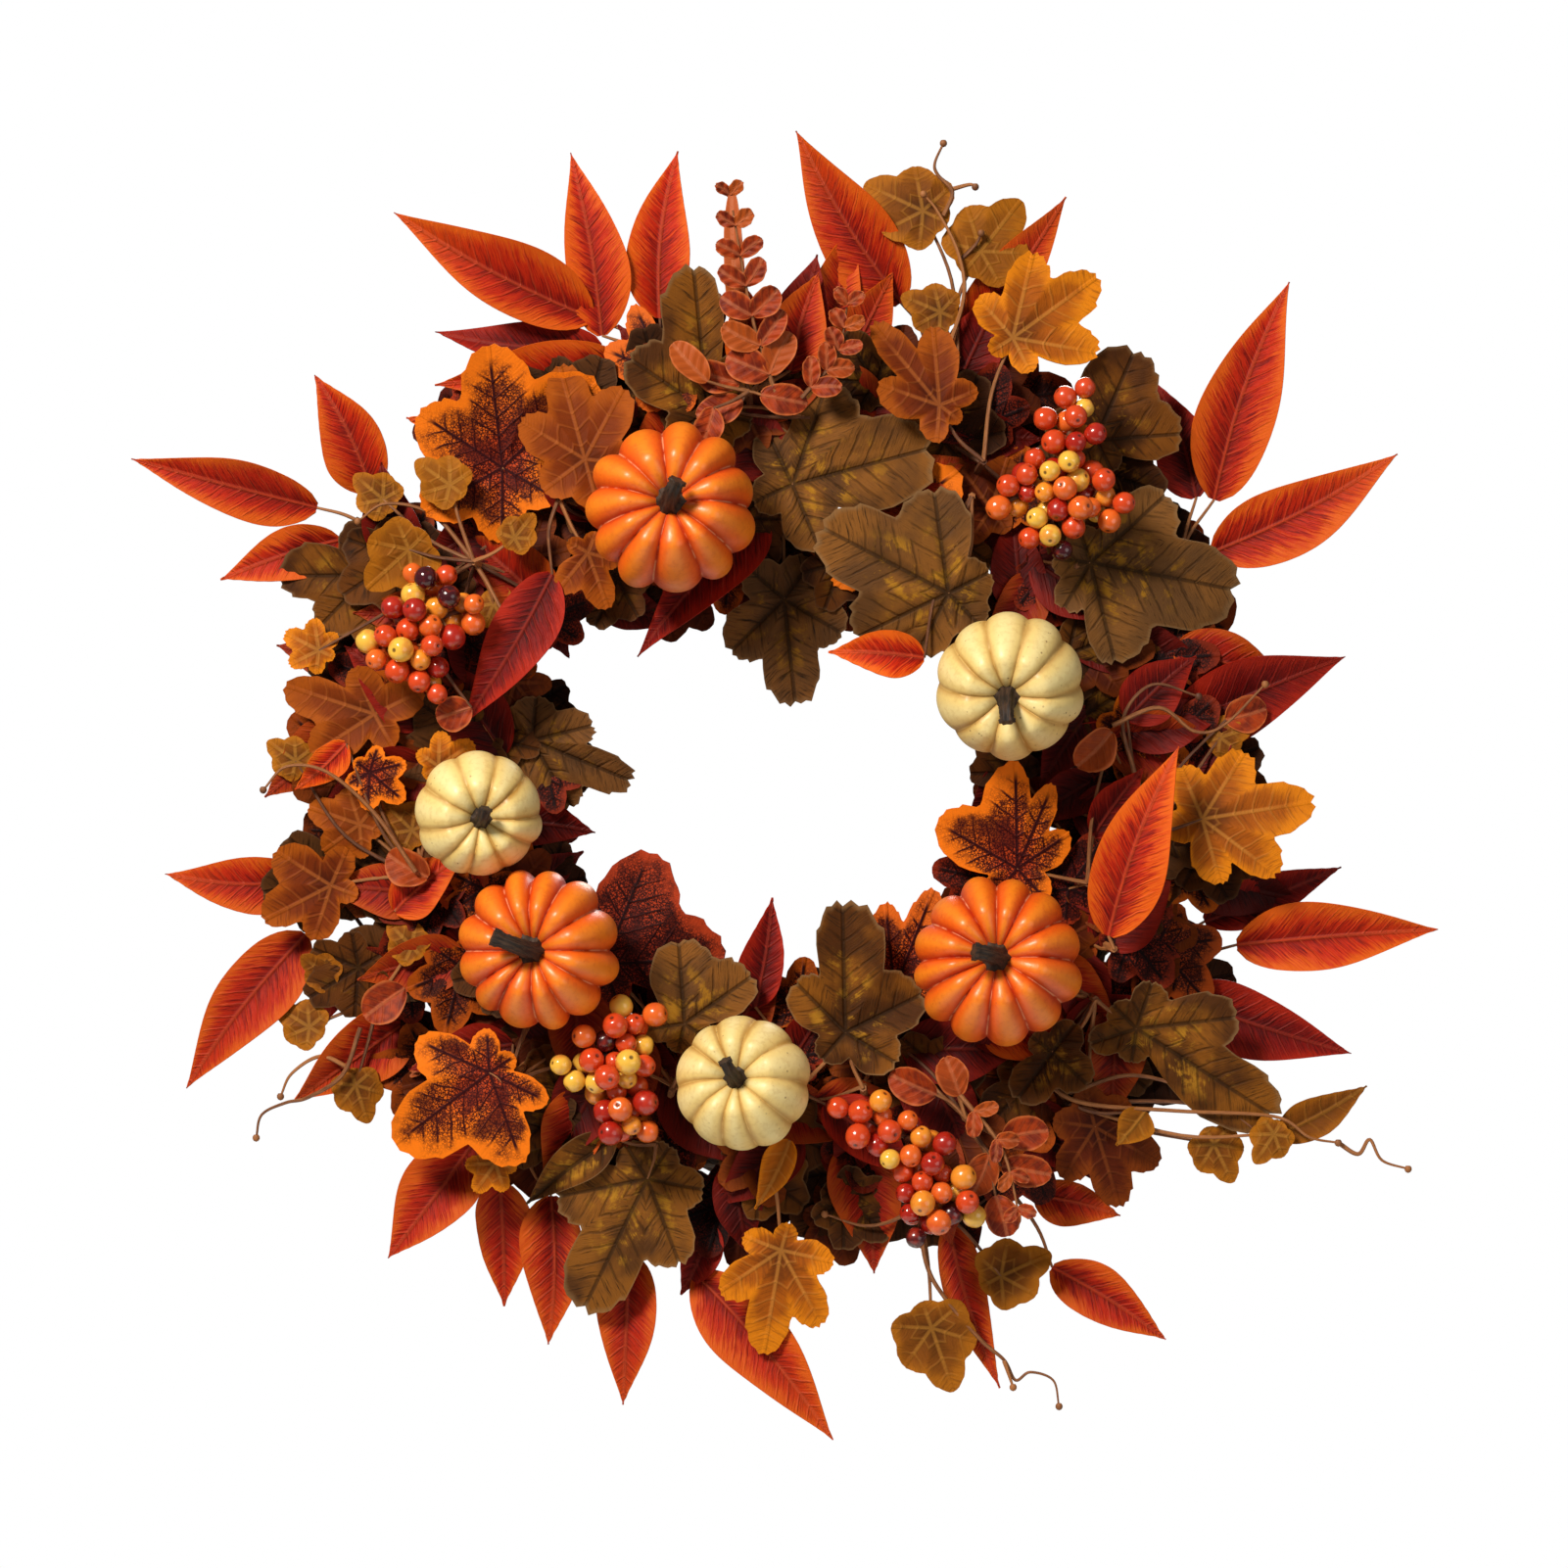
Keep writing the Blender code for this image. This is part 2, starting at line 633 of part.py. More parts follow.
def band_mesh():
    """The flat band round the ring at its top, as an open sleeve made solid."""
    bm = bmesh.new()
    bmesh.ops.create_cone(
        bm, segments=BAND_SEGMENTS, radius1=BAND_INNER, radius2=BAND_INNER, depth=BAND_WIDTH,
        matrix=Matrix.Rotation(pi / 2, 4, "Y"),
    )
    return mesh_from(bm, "hanger_strap")


def box_mesh(name, centre, size):
    bm = bmesh.new()
    bmesh.ops.create_cube(bm, matrix=Matrix.Translation(centre) @ Matrix.Diagonal((*size, 1)))
    return mesh_from(bm, name)


def cylinder_x(name, centre, radius, length, segments):
    bm = bmesh.new()
    place = Matrix.Translation(centre) @ Matrix.Rotation(pi / 2, 4, "Y")
    bmesh.ops.create_cone(
        bm, cap_ends=True, segments=segments, radius1=radius, radius2=radius, depth=length, matrix=place
    )
    return mesh_from(bm, name)


def lug_mesh(side):
    """One lug: a square plate that stands on the band and reaches past the hinge axis."""
    depth = 2 * LUG_RADIUS + BAND_THICKNESS / 2
    middle = Vector((side * LUG_SPACING / 2, LUG_RADIUS - depth / 2, -SEAT_ABOVE_AXIS))
    return box_mesh("lug", middle, (LUG_THICKNESS, depth, 2 * LUG_RADIUS))


def build_strap(collection, cutters):
    paint = material("hanger_strap", STEEL, 0.35, 1.0)
    sleeve = add_object("band_sleeve", band_mesh(), collection)
    solid = sleeve.modifiers.new("thickness", "SOLIDIFY")
    solid.thickness = BAND_THICKNESS
    solid.offset = 1
    bpy.context.view_layer.update()
    band = evaluated_mesh(sleeve, "hanger_strap")
    bpy.data.objects.remove(sleeve)
    band.transform(Matrix.Translation(ring_point(pi / 2)))
    strap = fused("hanger_strap", band, [lug_mesh(-1), lug_mesh(1)], collection, paint)
    bore = LOOP_WIRE_RADIUS + PIN_CLEARANCE
    pin = cylinder_x("lug_bore", Vector((0, 0, -SEAT_ABOVE_AXIS)), bore / cos(pi / 12), 4 * LUG_SPACING, 12)
    cutter = add_object("lug_bore", pin, cutters)
    cutter.hide_render = True
    cutter.display_type = "WIRE"
    cut = strap.modifiers.new("bore", "BOOLEAN")
    cut.operation = "DIFFERENCE"
    cut.object = cutter


def loop_points():
    """Once round the loop: along the bar that lies in the lugs, up one side, over the arch and down."""
    half, side = LOOP_HALF_WIDTH, LOOP_HEIGHT - LOOP_HALF_WIDTH
    corner = 2 * LOOP_WIRE_RADIUS
    points = [(-half + corner, 0), (0, 0), (half - corner, 0), (half, corner), (half, side)]
    points += [(half * cos(pi * k / 8), side + half * sin(pi * k / 8)) for k in range(1, 8)]
    points += [(-half, side), (-half, corner)]
    return [Vector((x, 0, z)) for x, z in points]


def build_loop(collection):
    loop = tube_mesh("hanger_loop", [loop_points()], LOOP_WIRE_RADIUS, 2, cyclic=True)
    obj = add_object("hanger_loop", loop, collection, material("hanger_loop", STEEL, 0.3, 1.0))
    obj.location = (0, 0, -SEAT_ABOVE_AXIS)


def shade_smooth(collection):
    for obj in collection.objects:
        obj.data.shade_smooth()
        obj.data.set_sharp_from_angle(angle=radians(40))


def main():
    clear_scene()
    wreath = new_collection("harvest_wreath")
    cutters = new_collection("cutters", hidden=True)
    build_ring(wreath)
    build_strap(wreath, cutters)
    build_loop(wreath)
    for pumpkin in PUMPKINS:
        build_pumpkin(wreath, *pumpkin)
    for spray in SPRAYS:
        build_spray(wreath, *spray)
    for spray in BERRY_SPRAYS:
        build_berries(wreath, *spray)
    shade_smooth(wreath)


main()
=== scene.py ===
"""Looks for the harvest door wreath: printed leaves, pumpkins, berries and vines on the CAD frame.

Metres, +Z up, front towards -Y. Places in the leaf tables are millimetres right of and above the ring's
centre, as in part.py, and a tier is a layer of foliage: 0 lies just in front of the ring.
"""

from math import atan2, cos, hypot, pi, radians, sin, tau

import bmesh
import bpy
import numpy as np
from mathutils import Matrix, Vector


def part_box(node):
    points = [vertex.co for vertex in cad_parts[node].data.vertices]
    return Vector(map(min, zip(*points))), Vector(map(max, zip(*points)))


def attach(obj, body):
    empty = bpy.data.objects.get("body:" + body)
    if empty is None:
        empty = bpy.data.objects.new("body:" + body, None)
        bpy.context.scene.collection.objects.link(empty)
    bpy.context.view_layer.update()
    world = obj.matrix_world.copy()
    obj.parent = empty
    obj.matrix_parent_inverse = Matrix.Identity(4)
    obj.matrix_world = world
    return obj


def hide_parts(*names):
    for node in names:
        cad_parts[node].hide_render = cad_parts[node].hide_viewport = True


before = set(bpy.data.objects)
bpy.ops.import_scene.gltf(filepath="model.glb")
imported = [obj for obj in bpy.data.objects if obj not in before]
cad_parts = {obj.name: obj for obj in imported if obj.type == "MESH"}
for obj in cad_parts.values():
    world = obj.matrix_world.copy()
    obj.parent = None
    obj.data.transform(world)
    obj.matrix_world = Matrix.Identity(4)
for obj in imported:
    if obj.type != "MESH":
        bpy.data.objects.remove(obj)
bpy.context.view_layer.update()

MM = 0.001

# The frame's own sizes
STRAND_RADIUS = (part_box("vine_core")[1].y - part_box("vine_core")[0].y) / 2
RING_CENTRE = (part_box("vine_core")[0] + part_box("vine_core")[1]) / 2
RING_RADIUS = (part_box("vine_core")[1].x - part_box("vine_core")[0].x) / 2 - STRAND_RADIUS
BUNDLE_RADIUS = (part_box("vine_strand_1")[1].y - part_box("vine_strand_1")[0].y) / 2
HELIX_RADIUS = BUNDLE_RADIUS - STRAND_RADIUS
STRAND_TWISTS = 3
STRAND_COUNT = 4

# The layout's sizes, as in part.py
TIER_START = 0.0035
TIER_PITCH = 0.0045
BLADE_STEP = 0.0003
BERRY_DEPTH = 0.031
PUMPKIN_DEPTH = 0.034
PUMPKIN_FLATNESS = 0.84
PUMPKIN_DIMPLE = 0.24

# What only the scene shows
LEAF_THICKNESS = 0.00035
STALK_RADIUS = 0.0008
COLUMN_RADIUS = 0.0013
TWIG_RADIUS = 0.0009
VINE_RADIUS = 0.00085
BEAD_RADIUS = 0.0013
PUMPKIN_WIRE_RADIUS = 0.0016
BERRY_STEM_RADIUS = 0.0011
BERRY_STALK_RADIUS = 0.0005
BERRY_RADII = (0.0033, 0.0044)
BERRY_REACH = (0.003, 0.0105)
BERRY_SPACING = 0.0019
BERRY_PUSHES = 60
GOLDEN_ANGLE = radians(137.5)
BARK_SIDES = 16
KNOTS = 9
FILLER_COUNT = 350
FILLER_SEED = 17
FILLER_KINDS = ("crimson", "grape", "maple_dark", "amber", "crimson", "maple", "grape", "coral")
FILLER_TURN_STEP = 0.56984  # shares of a turn and of the reach between one filler leaf and the next
FILLER_REACH_STEP = 0.75488
FILLER_EDGES = (98, 146)  # beyond these reaches a filler leaf may lie low
FILLER_OUTWARD = 104

# The hole in the foliage, in millimetres and degrees: its reach, and its wider places as
# (toward, spread, how much)
HOLE_REACH = 58
HOLE_WIDER = ((150, 15, 27), (196, 9, 20))

GROOVE_DEPTHS = {"pumpkin_orange": 0.125, "pumpkin_cream": 0.06}


def lance(kind, base, tip, width, lift=0):
    return {"shape": "lance", "kind": kind, "base": base, "tip": tip, "width": width, "lift": lift}


def lobed(kind, centre, *tips):
    return {"shape": "lobed", "kind": kind, "centre": centre, "tips": tips}


def palmate(kind, centre, tip):
    """A small five-lobed leaf with its largest lobe at tip; ivy is narrower, like a heart."""
    length = hypot(tip[0] - centre[0], tip[1] - centre[1])
    heading = atan2(tip[1] - centre[1], tip[0] - centre[0])
    if kind == "ivy":
        length *= 0.85
    side, low = (0.7, 0.6) if kind == "ivy" else (0.84, 0.62)
    lobes = ((0, 1), (54, side), (-54, side), (112, low), (-112, low))
    ends = [(heading + radians(turn), length * share) for turn, share in lobes]
    return lobed(kind, centre, *[(centre[0] + r * cos(a), centre[1] + r * sin(a)) for a, r in ends])


def dark(leaf, shade):
    """The same leaf, deeper in shade."""
    return {**leaf, "shade": shade}


# Each spray: name, hub, tier, leaves.
SPRAYS = (
    ("lance_spray_top_left", (-43, 149), -1, (
        lance("coral", (-66, 161), (-134, 196), 25, 18),
        lance("coral", (-63, 155), (-74, 219), 22, 4),
        lance("coral", (-43, 161), (-37, 221), 22, -10),
        lance("crimson", (-63, 151), (-122, 158), 18, -8),
        lance("coral", (-55, 146), (-121, 138), 22, 6),
    )),
    ("lance_spray_top", (50, 151), -2, (
        lance("coral", (41, 167), (4, 226), 27, 8),
        lance("coral", (62, 155), (98, 204), 20, 4),
    )),
    ("lance_spray_right_high", (135, 66), -1, (
        lance("coral", (149, 98), (175, 174), 27, 8),
        lance("coral", (148, 80), (210, 113), 25, 16),
        dark(lance("crimson", (143, 99), (129, 141), 20, -8), 0.3),
        lance("crimson", (134, 18), (194, 44), 27, 8),
    )),
    ("lance_spray_right_low", (134, -58), -2, (
        lance("crimson", (146, -48), (195, -29), 17, -4),
        dark(lance("coral", (157, -56), (225, -50), 24, 16), 0.1),
        dark(lance("crimson", (136, -74), (198, -94), 24, 0), 0.0),
    )),
    ("lance_leaf_right_front", (112, -56), 5, (
        lance("coral", (110, -52), (134, 13), 25, 6),
    )),
    ("lance_spray_bottom_right", (76, -138), -2, (
        lance("coral", (87, -143), (117, -150), 16, 4),
        lance("coral", (93, -168), (132, -192), 19, 10),
        lance("coral", (57, -152), (75, -210), 15, 4),
    )),
    ("lance_spray_bottom", (-34, -152), -2, (
        dark(lance("coral", (-31, -170), (17, -226), 25, 14), 0.2),
        lance("coral", (-54, -163), (-56, -216), 21, 4),
        dark(lance("crimson", (-26, -152), (-36, -178), 15, 0), 0.2),
    )),
    ("lance_spray_bottom_left", (-90, -124), -2, (
        lance("coral", (-81, -143), (-82, -195), 22, 4),
        lance("coral", (-99, -138), (-98, -183), 20, -6),
        lance("coral", (-108, -125), (-137, -164), 26, 12),
    )),
    ("lance_spray_left_low", (-143, -55), -2, (
        lance("coral", (-128, -80), (-170, -110), 24, 10),
        lance("coral", (-166, -52), (-208, -106), 25, 4),
        lance("coral", (-166, -34), (-214, -31), 20, 8),
        dark(lance("crimson", (-152, -56), (-160, -84), 14, -6), 0.2),
    )),
    ("lance_spray_left_high", (-142, 88), -2, (
        lance("coral", (-143, 101), (-163, 142), 22, 6),
        lance("coral", (-162, 96), (-225, 112), 20, 16),
        lance("coral", (-154, 85), (-196, 71), 19, 4),
    )),
    ("grape_spray_top", (9, 126), 1, (
        lobed("grape", (3, 103), (50, 115), (15, 138), (-6, 122), (12, 81)),
        lobed("grape", (-26, 128), (-31, 177), (-53, 146), (-14, 146)),
    )),
    ("grape_spray_inner", (64, 98), 4, (
        lobed("grape", (56, 65), (13, 87), (51, 100), (25, 50), (46, 45)),
        lance("coral", (48, 43), (15, 45), 16),
    )),
    ("grape_spray_right_high", (100, 74), 2, (
        lobed("grape", (105, 76), (156, 67), (131, 99), (114, 42), (96, 60)),
        dark(lobed("grape", (107, 118), (120, 148), (136, 120), (90, 122)), 0.35),
    )),
    ("grape_leaf_bottom", (27, -104), 3, (
        lobed("grape", (21, -85), (20, -41), (47, -72), (38, -95), (4, -68), (13, -94)),
    )),
    ("grape_leaf_bottom_left", (-38, -104), 3, (
        lobed("grape", (-34, -82), (-36, -54), (-11, -66), (-48, -84)),
    )),
    ("grape_spray_low", (-44, -124), 1, (
        lobed("grape", (-47, -136), (-69, -181), (-78, -142), (-28, -140), (-36, -165)),
        lance("grape", (-58, -122), (-89, -145), 15),
    )),
    ("grape_spray_right_low", (107, -74), 2, (
        lobed("grape", (121, -84), (168, -114), (155, -80), (126, -68), (105, -89)),
        dark(lobed("grape", (92, -92), (104, -103), (80, -108), (100, -82)), 0.3),
    )),
    ("grape_spray_left", (-113, 40), 0, (
        dark(lobed("grape", (-87, 15), (-53, 1), (-74, -8), (-66, 20)), 0.3),
        dark(lobed("grape", (-143, 72), (-174, 72), (-160, 55), (-139, 46), (-146, 92)), 0.3),
    )),
    ("shade_spray_top", (-4, 106), 0, (
        lance("crimson", (-6, 92), (-51, 44), 22),
        dark(lobed("grape", (0, 64), (4, 28), (-18, 46), (20, 52)), 0.3),
    )),
    ("amber_spray_top", (68, 110), 4, (
        lobed("gold", (78, 152), (85, 181), (107, 173), (107, 147), (66, 166), (84, 140)),
        lobed("amber", (53, 129), (51, 156), (30, 157), (32, 136), (66, 134), (52, 116)),
    )),
    ("amber_spray_left_top", (-77, 98), 3, (
        lobed("amber", (-68, 111), (-77, 144), (-55, 136), (-90, 124)),
        lobed("amber", (-67, 79), (-77, 66), (-60, 60), (-56, 76)),
        lance("crimson", (-79, 72), (-110, 20), 22, 4),
    )),
    ("amber_leaf_right", (126, -16), 3, (
        lobed("gold", (143, -12), (158, 11), (181, -6), (168, -31), (149, -34), (136, 6)),
    )),
    ("amber_spray_bottom", (-4, -133), 2, (
        lobed("gold", (-1, -160), (-7, -196), (13, -186), (17, -164), (-22, -174), (-14, -155)),
        lance("gold", (2, -122), (-10, -146), 12),
    )),
    ("amber_spray_left", (-126, -32), 1, (
        lobed("amber", (-156, -35), (-179, -47), (-162, -54), (-175, -23), (-150, -22)),
        lobed("amber", (-141, 24), (-172, 34), (-162, 10), (-148, 40), (-124, 32)),
    )),
    ("maple_leaf_left_low", (-95, -103), 5, (
        lobed("maple", (-100, -98), (-133, -123), (-125, -87), (-101, -83), (-89, -129), (-80, -108)),
    )),
    ("maple_spray_low", (4, -106), 1, (
        lobed("maple_dark", (-62, -62), (-46, -23), (-20, -60), (-80, -50)),
        lance("crimson", (-10, -77), (-4, -39), 16),
        lobed("maple", (38, -71), (35, -41), (52, -36), (56, -70)),
        lance("crimson", (14, -110), (45, -136), 20),
    )),
    ("maple_spray_left_high", (-88, 92), 1, (
        lobed("maple", (-97, 109), (-101, 150), (-125, 127), (-123, 93), (-97, 83), (-64, 138), (-78, 98)),
    )),
    ("maple_spray_right", (104, -34), 2, (
        lobed("maple", (80, -29), (79, 8), (92, 0), (98, -17), (52, -13)),
        lance("crimson", (106, -18), (124, 6), 15),
    )),
    ("maple_spray_top", (51, 108), 0, (
        lobed("maple", (34, 88), (18, 68), (8, 82), (60, 108), (48, 70)),
        lance("crimson", (64, 112), (76, 140), 18),
    )),
    ("ivy_vine_top", (60, 148), 0, (
        palmate("ivy", (48, 198), (24, 210)),
        palmate("ivy", (68, 184), (85, 206)),
        palmate("ivy", (54, 163), (38, 170)),
    )),
    ("ivy_spray_bottom", (46, -142), 0, (
        palmate("ivy", (30, -150), (16, -158)),
        palmate("ivy", (51, -188), (60, -214)),
        palmate("ivy", (75, -170), (95, -160)),
    )),
    ("ivy_vine_right", (98, -110), 1, (
        palmate("ivy", (148, -124), (156, -140)),
        dark(lance("ivy", (170, -121), (201, -104), 14), 0.3),
    )),
    ("ivy_spray_left_high", (-106, 76), 3.4, (
        palmate("ivy", (-128, 80), (-145, 64)),
        palmate("ivy", (-114, 102), (-128, 112)),
        palmate("ivy", (-92, 84), (-84, 94)),
    )),
    ("ivy_vine_left", (-140, -74), 0, (
        palmate("ivy", (-164, -84), (-178, -76)),
        palmate("ivy", (-148, -104), (-143, -120)),
    )),
    ("eucalyptus_spray_top", (-12, 134), 3, (
        lance("eucalyptus", (-13, 142), (-18, 205), 7, -8),
        lance("eucalyptus", (-15, 137), (-30, 142), 11),
        lance("eucalyptus", (-14, 131), (-30, 126), 11),
        lance("eucalyptus", (-8, 133), (8, 130), 11),
    )),
    ("eucalyptus_spray_bottom", (62, -114), 4, (
        lance("eucalyptus", (52, -106), (36, -99), 12),
        lance("eucalyptus", (60, -106), (55, -93), 11),
        lance("eucalyptus", (74, -121), (90, -118), 12),
        lance("eucalyptus", (70, -126), (64, -140), 12),
        lance("eucalyptus", (74, -130), (91, -133), 11),
        lance("eucalyptus", (72, -140), (76, -154), 12),
    )),
)

# Each berry spray: name, hub, and its stems as runs of points.
BERRY_SPRAYS = (
    ("berry_spray_top", (94, 98), (
        ((98, 132), (94, 98), (87, 82)),
        ((94, 98), (112, 94)),
        ((94, 104), (76, 96)),
    )),
    ("berry_spray_left", (-124, 52), (
        ((-122, 70), (-124, 52), (-121, 32)),
        ((-124, 48), (-138, 44)),
        ((-123, 54), (-106, 60)),
    )),
    ("berry_spray_bottom_left", (-56, -100), (
        ((-50, -78), (-56, -100), (-52, -120)),
        ((-56, -98), (-72, -96)),
        ((-55, -88), (-62, -84)),
    )),
    ("berry_spray_bottom", (42, -120), (
        ((22, -112), (42, -120), (50, -134), (60, -146)),
        ((50, -134), (46, -150)),
    )),
)

# Each pumpkin: name, material, centre, radius, ribs, and where its stem stands from the centre and points.
PUMPKINS = (
    ("pumpkin_orange_top", "pumpkin_orange", (-38, 93), 29, 11, (0, 2), (3, 6)),
    ("pumpkin_cream_right", "pumpkin_cream", (76, 33), 25, 10, (-3, -7), (0, -8)),
    ("pumpkin_cream_left", "pumpkin_cream", (-103, -10), 21.5, 10, (3, -3), (2, 4)),
    ("pumpkin_orange_left", "pumpkin_orange", (-83, -56), 27.5, 12, (-2, 1), (-12, 5)),
    ("pumpkin_cream_bottom", "pumpkin_cream", (-14, -101), 23, 10, (-4, 5), (-3, 6)),
    ("pumpkin_orange_right", "pumpkin_orange", (72, -60), 29, 12, (-2, 4), (-8, 2)),
)

# Leaves, twigs and vines that the CAD sprays leave out: spray, then (tier, leaf).
EXTRAS = {
    "lance_spray_top_left": ((-1, lance("coral", (-108, 121), (-131, 127), 11)),),
    "lance_spray_right_high": ((-1, lance("crimson", (122, 14), (92, 17), 13)),),
    "lance_spray_top": (
        (-1, dark(lance("coral", (20, 142), (38, 178), 20), 0.3)),
        (-1, dark(lance("crimson", (60, 138), (76, 172), 20), 0.35)),
        (-2, dark(lance("coral", (16, 150), (24, 196), 18), 0.2)),
    ),
    "eucalyptus_spray_top": (
        (2, dark(lance("coral", (-8, 140), (-14, 172), 18), 0.25)),
        (1, dark(lance("coral", (2, 142), (12, 176), 20), 0.3)),
        (4, lance("eucalyptus", (-26, 137), (-38, 150), 10)),
        (4, lance("eucalyptus", (-24, 128), (-28, 115), 10)),
    ),
    "grape_spray_top": ((1, dark(lobed("maple", (-40, 140), (-52, 166), (-38, 160), (-62, 150)), 0.2)),),
    "maple_spray_left_high": (
        (0, palmate("maple", (-134, 52), (-134, 64))),
        (0, dark(lobed("maple_dark", (-92, 128), (-102, 150), (-72, 138), (-116, 132)), 0.1)),
    ),
    "amber_spray_left": (
        (2, palmate("maple", (-142, 4), (-130, -6))),
        (2, lance("coral", (-150, 14), (-168, -2), 12)),
        (3, palmate("gold", (-118, 6), (-106, 14))),
        (2, lance("eucalyptus", (-122, -32), (-136, -24), 13)),
        (1, palmate("ivy", (-168, 8), (-180, 16))),
        (1, palmate("amber", (-146, -14), (-164, -8))),
        (1, dark(palmate("ivy", (-128, -16), (-140, -4)), 0.1)),
        (1, dark(lance("coral", (-134, -44), (-110, -24), 18), 0.2)),
    ),
    "ivy_spray_left_high": (
        (1, palmate("ivy", (-138, 98), (-150, 108))),
        (1, palmate("gold", (-160, 46), (-172, 52))),
        (1, palmate("ivy", (-100, 62), (-92, 50))),
    ),
    "ivy_vine_left": (
        (2, lance("eucalyptus", (-130, -70), (-144, -80), 14)),
        (1, palmate("ivy", (-128, -56), (-138, -46))),
        (0, dark(palmate("ivy", (-158, -66), (-168, -58)), 0.3)),
    ),
    "maple_leaf_left_low": ((2, palmate("gold", (-99, -130), (-106, -140))),),
    "grape_spray_right_low": (
        (1, dark(lobed("amber", (107, -118), (116, -146), (130, -131), (96, -136)), 0.55)),
        (0, dark(lobed("grape", (84, -104), (70, -118), (96, -120), (78, -92)), 0.6)),
    ),
    "maple_spray_right": (
        (1, dark(lobed("maple_dark", (98, -36), (112, -16), (118, -44), (90, -20)), 0.2)),
        (3, lance("eucalyptus", (112, 18), (100, 6), 13)),
    ),
    "amber_leaf_right": (
        (1, dark(palmate("ivy", (150, 16), (163, 20)), 0.1)),
        (1, lance("eucalyptus", (152, 22), (166, 26), 13)),
        (1, dark(lance("crimson", (118, 22), (142, 44), 20), 0.4)),
    ),
    "berry_spray_left": ((5, lance("eucalyptus", (-106, 26), (-118, 22), 12)),),
    "ivy_vine_right": (
        (2, lance("ivy", (124, -112), (114, -124), 13)),
        (2, palmate("ivy", (168, -120), (160, -132))),
    ),
}

# Eucalyptus twigs: spray, tier, the stem's points, and how long its first and last leaves are.
TWIGS = (
    ("eucalyptus_spray_top", 3, ((-3, 134), (-11, 160), (-19, 204)), 17, 5, 7),
    ("eucalyptus_spray_top", 3, ((6, 132), (18, 146), (22, 166)), 11, 6, 5),
    ("eucalyptus_spray_bottom", 4, ((60, -106), (74, -124), (80, -148)), 9, 6, 4),
    ("ivy_vine_left", -1, ((-126, -92), (-122, -104), (-118, -112)), 7, 5, 3),
)

# Thin vines and their curled ends: spray, tier, points.
VINES = (
    ("ivy_vine_top", 0, ((56, 148), (62, 168), (60, 183), (53, 197), (48, 203))),
    ("ivy_vine_top", 0, ((60, 180), (66, 186), (68, 190))),
    ("ivy_vine_top", 0, ((55, 196), (58, 204), (53, 210), (52, 214), (55, 221))),
    ("ivy_vine_top", 0, ((57, 205), (64, 207), (66, 206))),
    ("ivy_spray_bottom", 0, ((46, -142), (40, -149), (28, -152), (14, -148))),
    ("ivy_spray_bottom", 0, (
        (46, -142), (49, -165), (56, -178), (68, -192), (76, -199),
        (80, -206), (85, -203), (93, -206), (95, -215),
    )),
    ("ivy_spray_bottom", 0, ((76, -199), (79, -208))),
    ("ivy_vine_right", 1, ((87, -99), (101, -109), (134, -112), (168, -114), (180, -121), (190, -123))),
    ("ivy_vine_right", 1, ((190, -123), (197, -127), (201, -122), (205, -129), (214, -132))),
    ("ivy_vine_right", 1, ((98, -106), (120, -100), (146, -108), (166, -122))),
    ("ivy_vine_left", 0, ((-146, -84), (-152, -100), (-164, -108), (-172, -110), (-180, -114), (-182, -122))),
    ("ivy_vine_left", 0, ((-150, -98), (-160, -94), (-170, -100), (-174, -108))),
    ("ivy_spray_left_high", 2, ((-106, 76), (-120, 92), (-136, 96), (-146, 90))),
    ("ivy_spray_left_high", 2, ((-106, 76), (-100, 66), (-94, 52), (-100, 42))),
    ("amber_spray_left", 2, ((-126, -30), (-140, -10), (-156, 4), (-170, 6), (-178, -2))),
    ("amber_leaf_right", 3, ((112, 20), (128, 26), (140, 18), (150, 20), (164, 34))),
    ("amber_leaf_right", 2, ((120, 4), (116, 22), (126, 34), (142, 30))),
)


def slots_for(name):
    """The record's material slot of a spray, from the first word of its name."""
    return {"shade": "burgundy_leaf", "berry": "berry"}.get(name.split("_")[0], name.split("_")[0] + "_leaf")


def seeded(name):
    """The same random draws on each run, of its own for each name."""
    return np.random.default_rng(sum(ord(letter) * (index + 3) for index, letter in enumerate(name)))


def tier_depth(tier):
    return BUNDLE_RADIUS + TIER_START + tier * TIER_PITCH


def spot(x, z, forward):
    """Points in space from millimetres right of and above the ring's centre, and metres forward of it."""
    x, z, forward = np.asarray(x), np.asarray(z), np.asarray(forward)
    return columns_of(RING_CENTRE.x + x * MM, RING_CENTRE.y - forward, RING_CENTRE.z + z * MM).astype(float)


# --- Mesh building --------------------------------------------------------------------------------


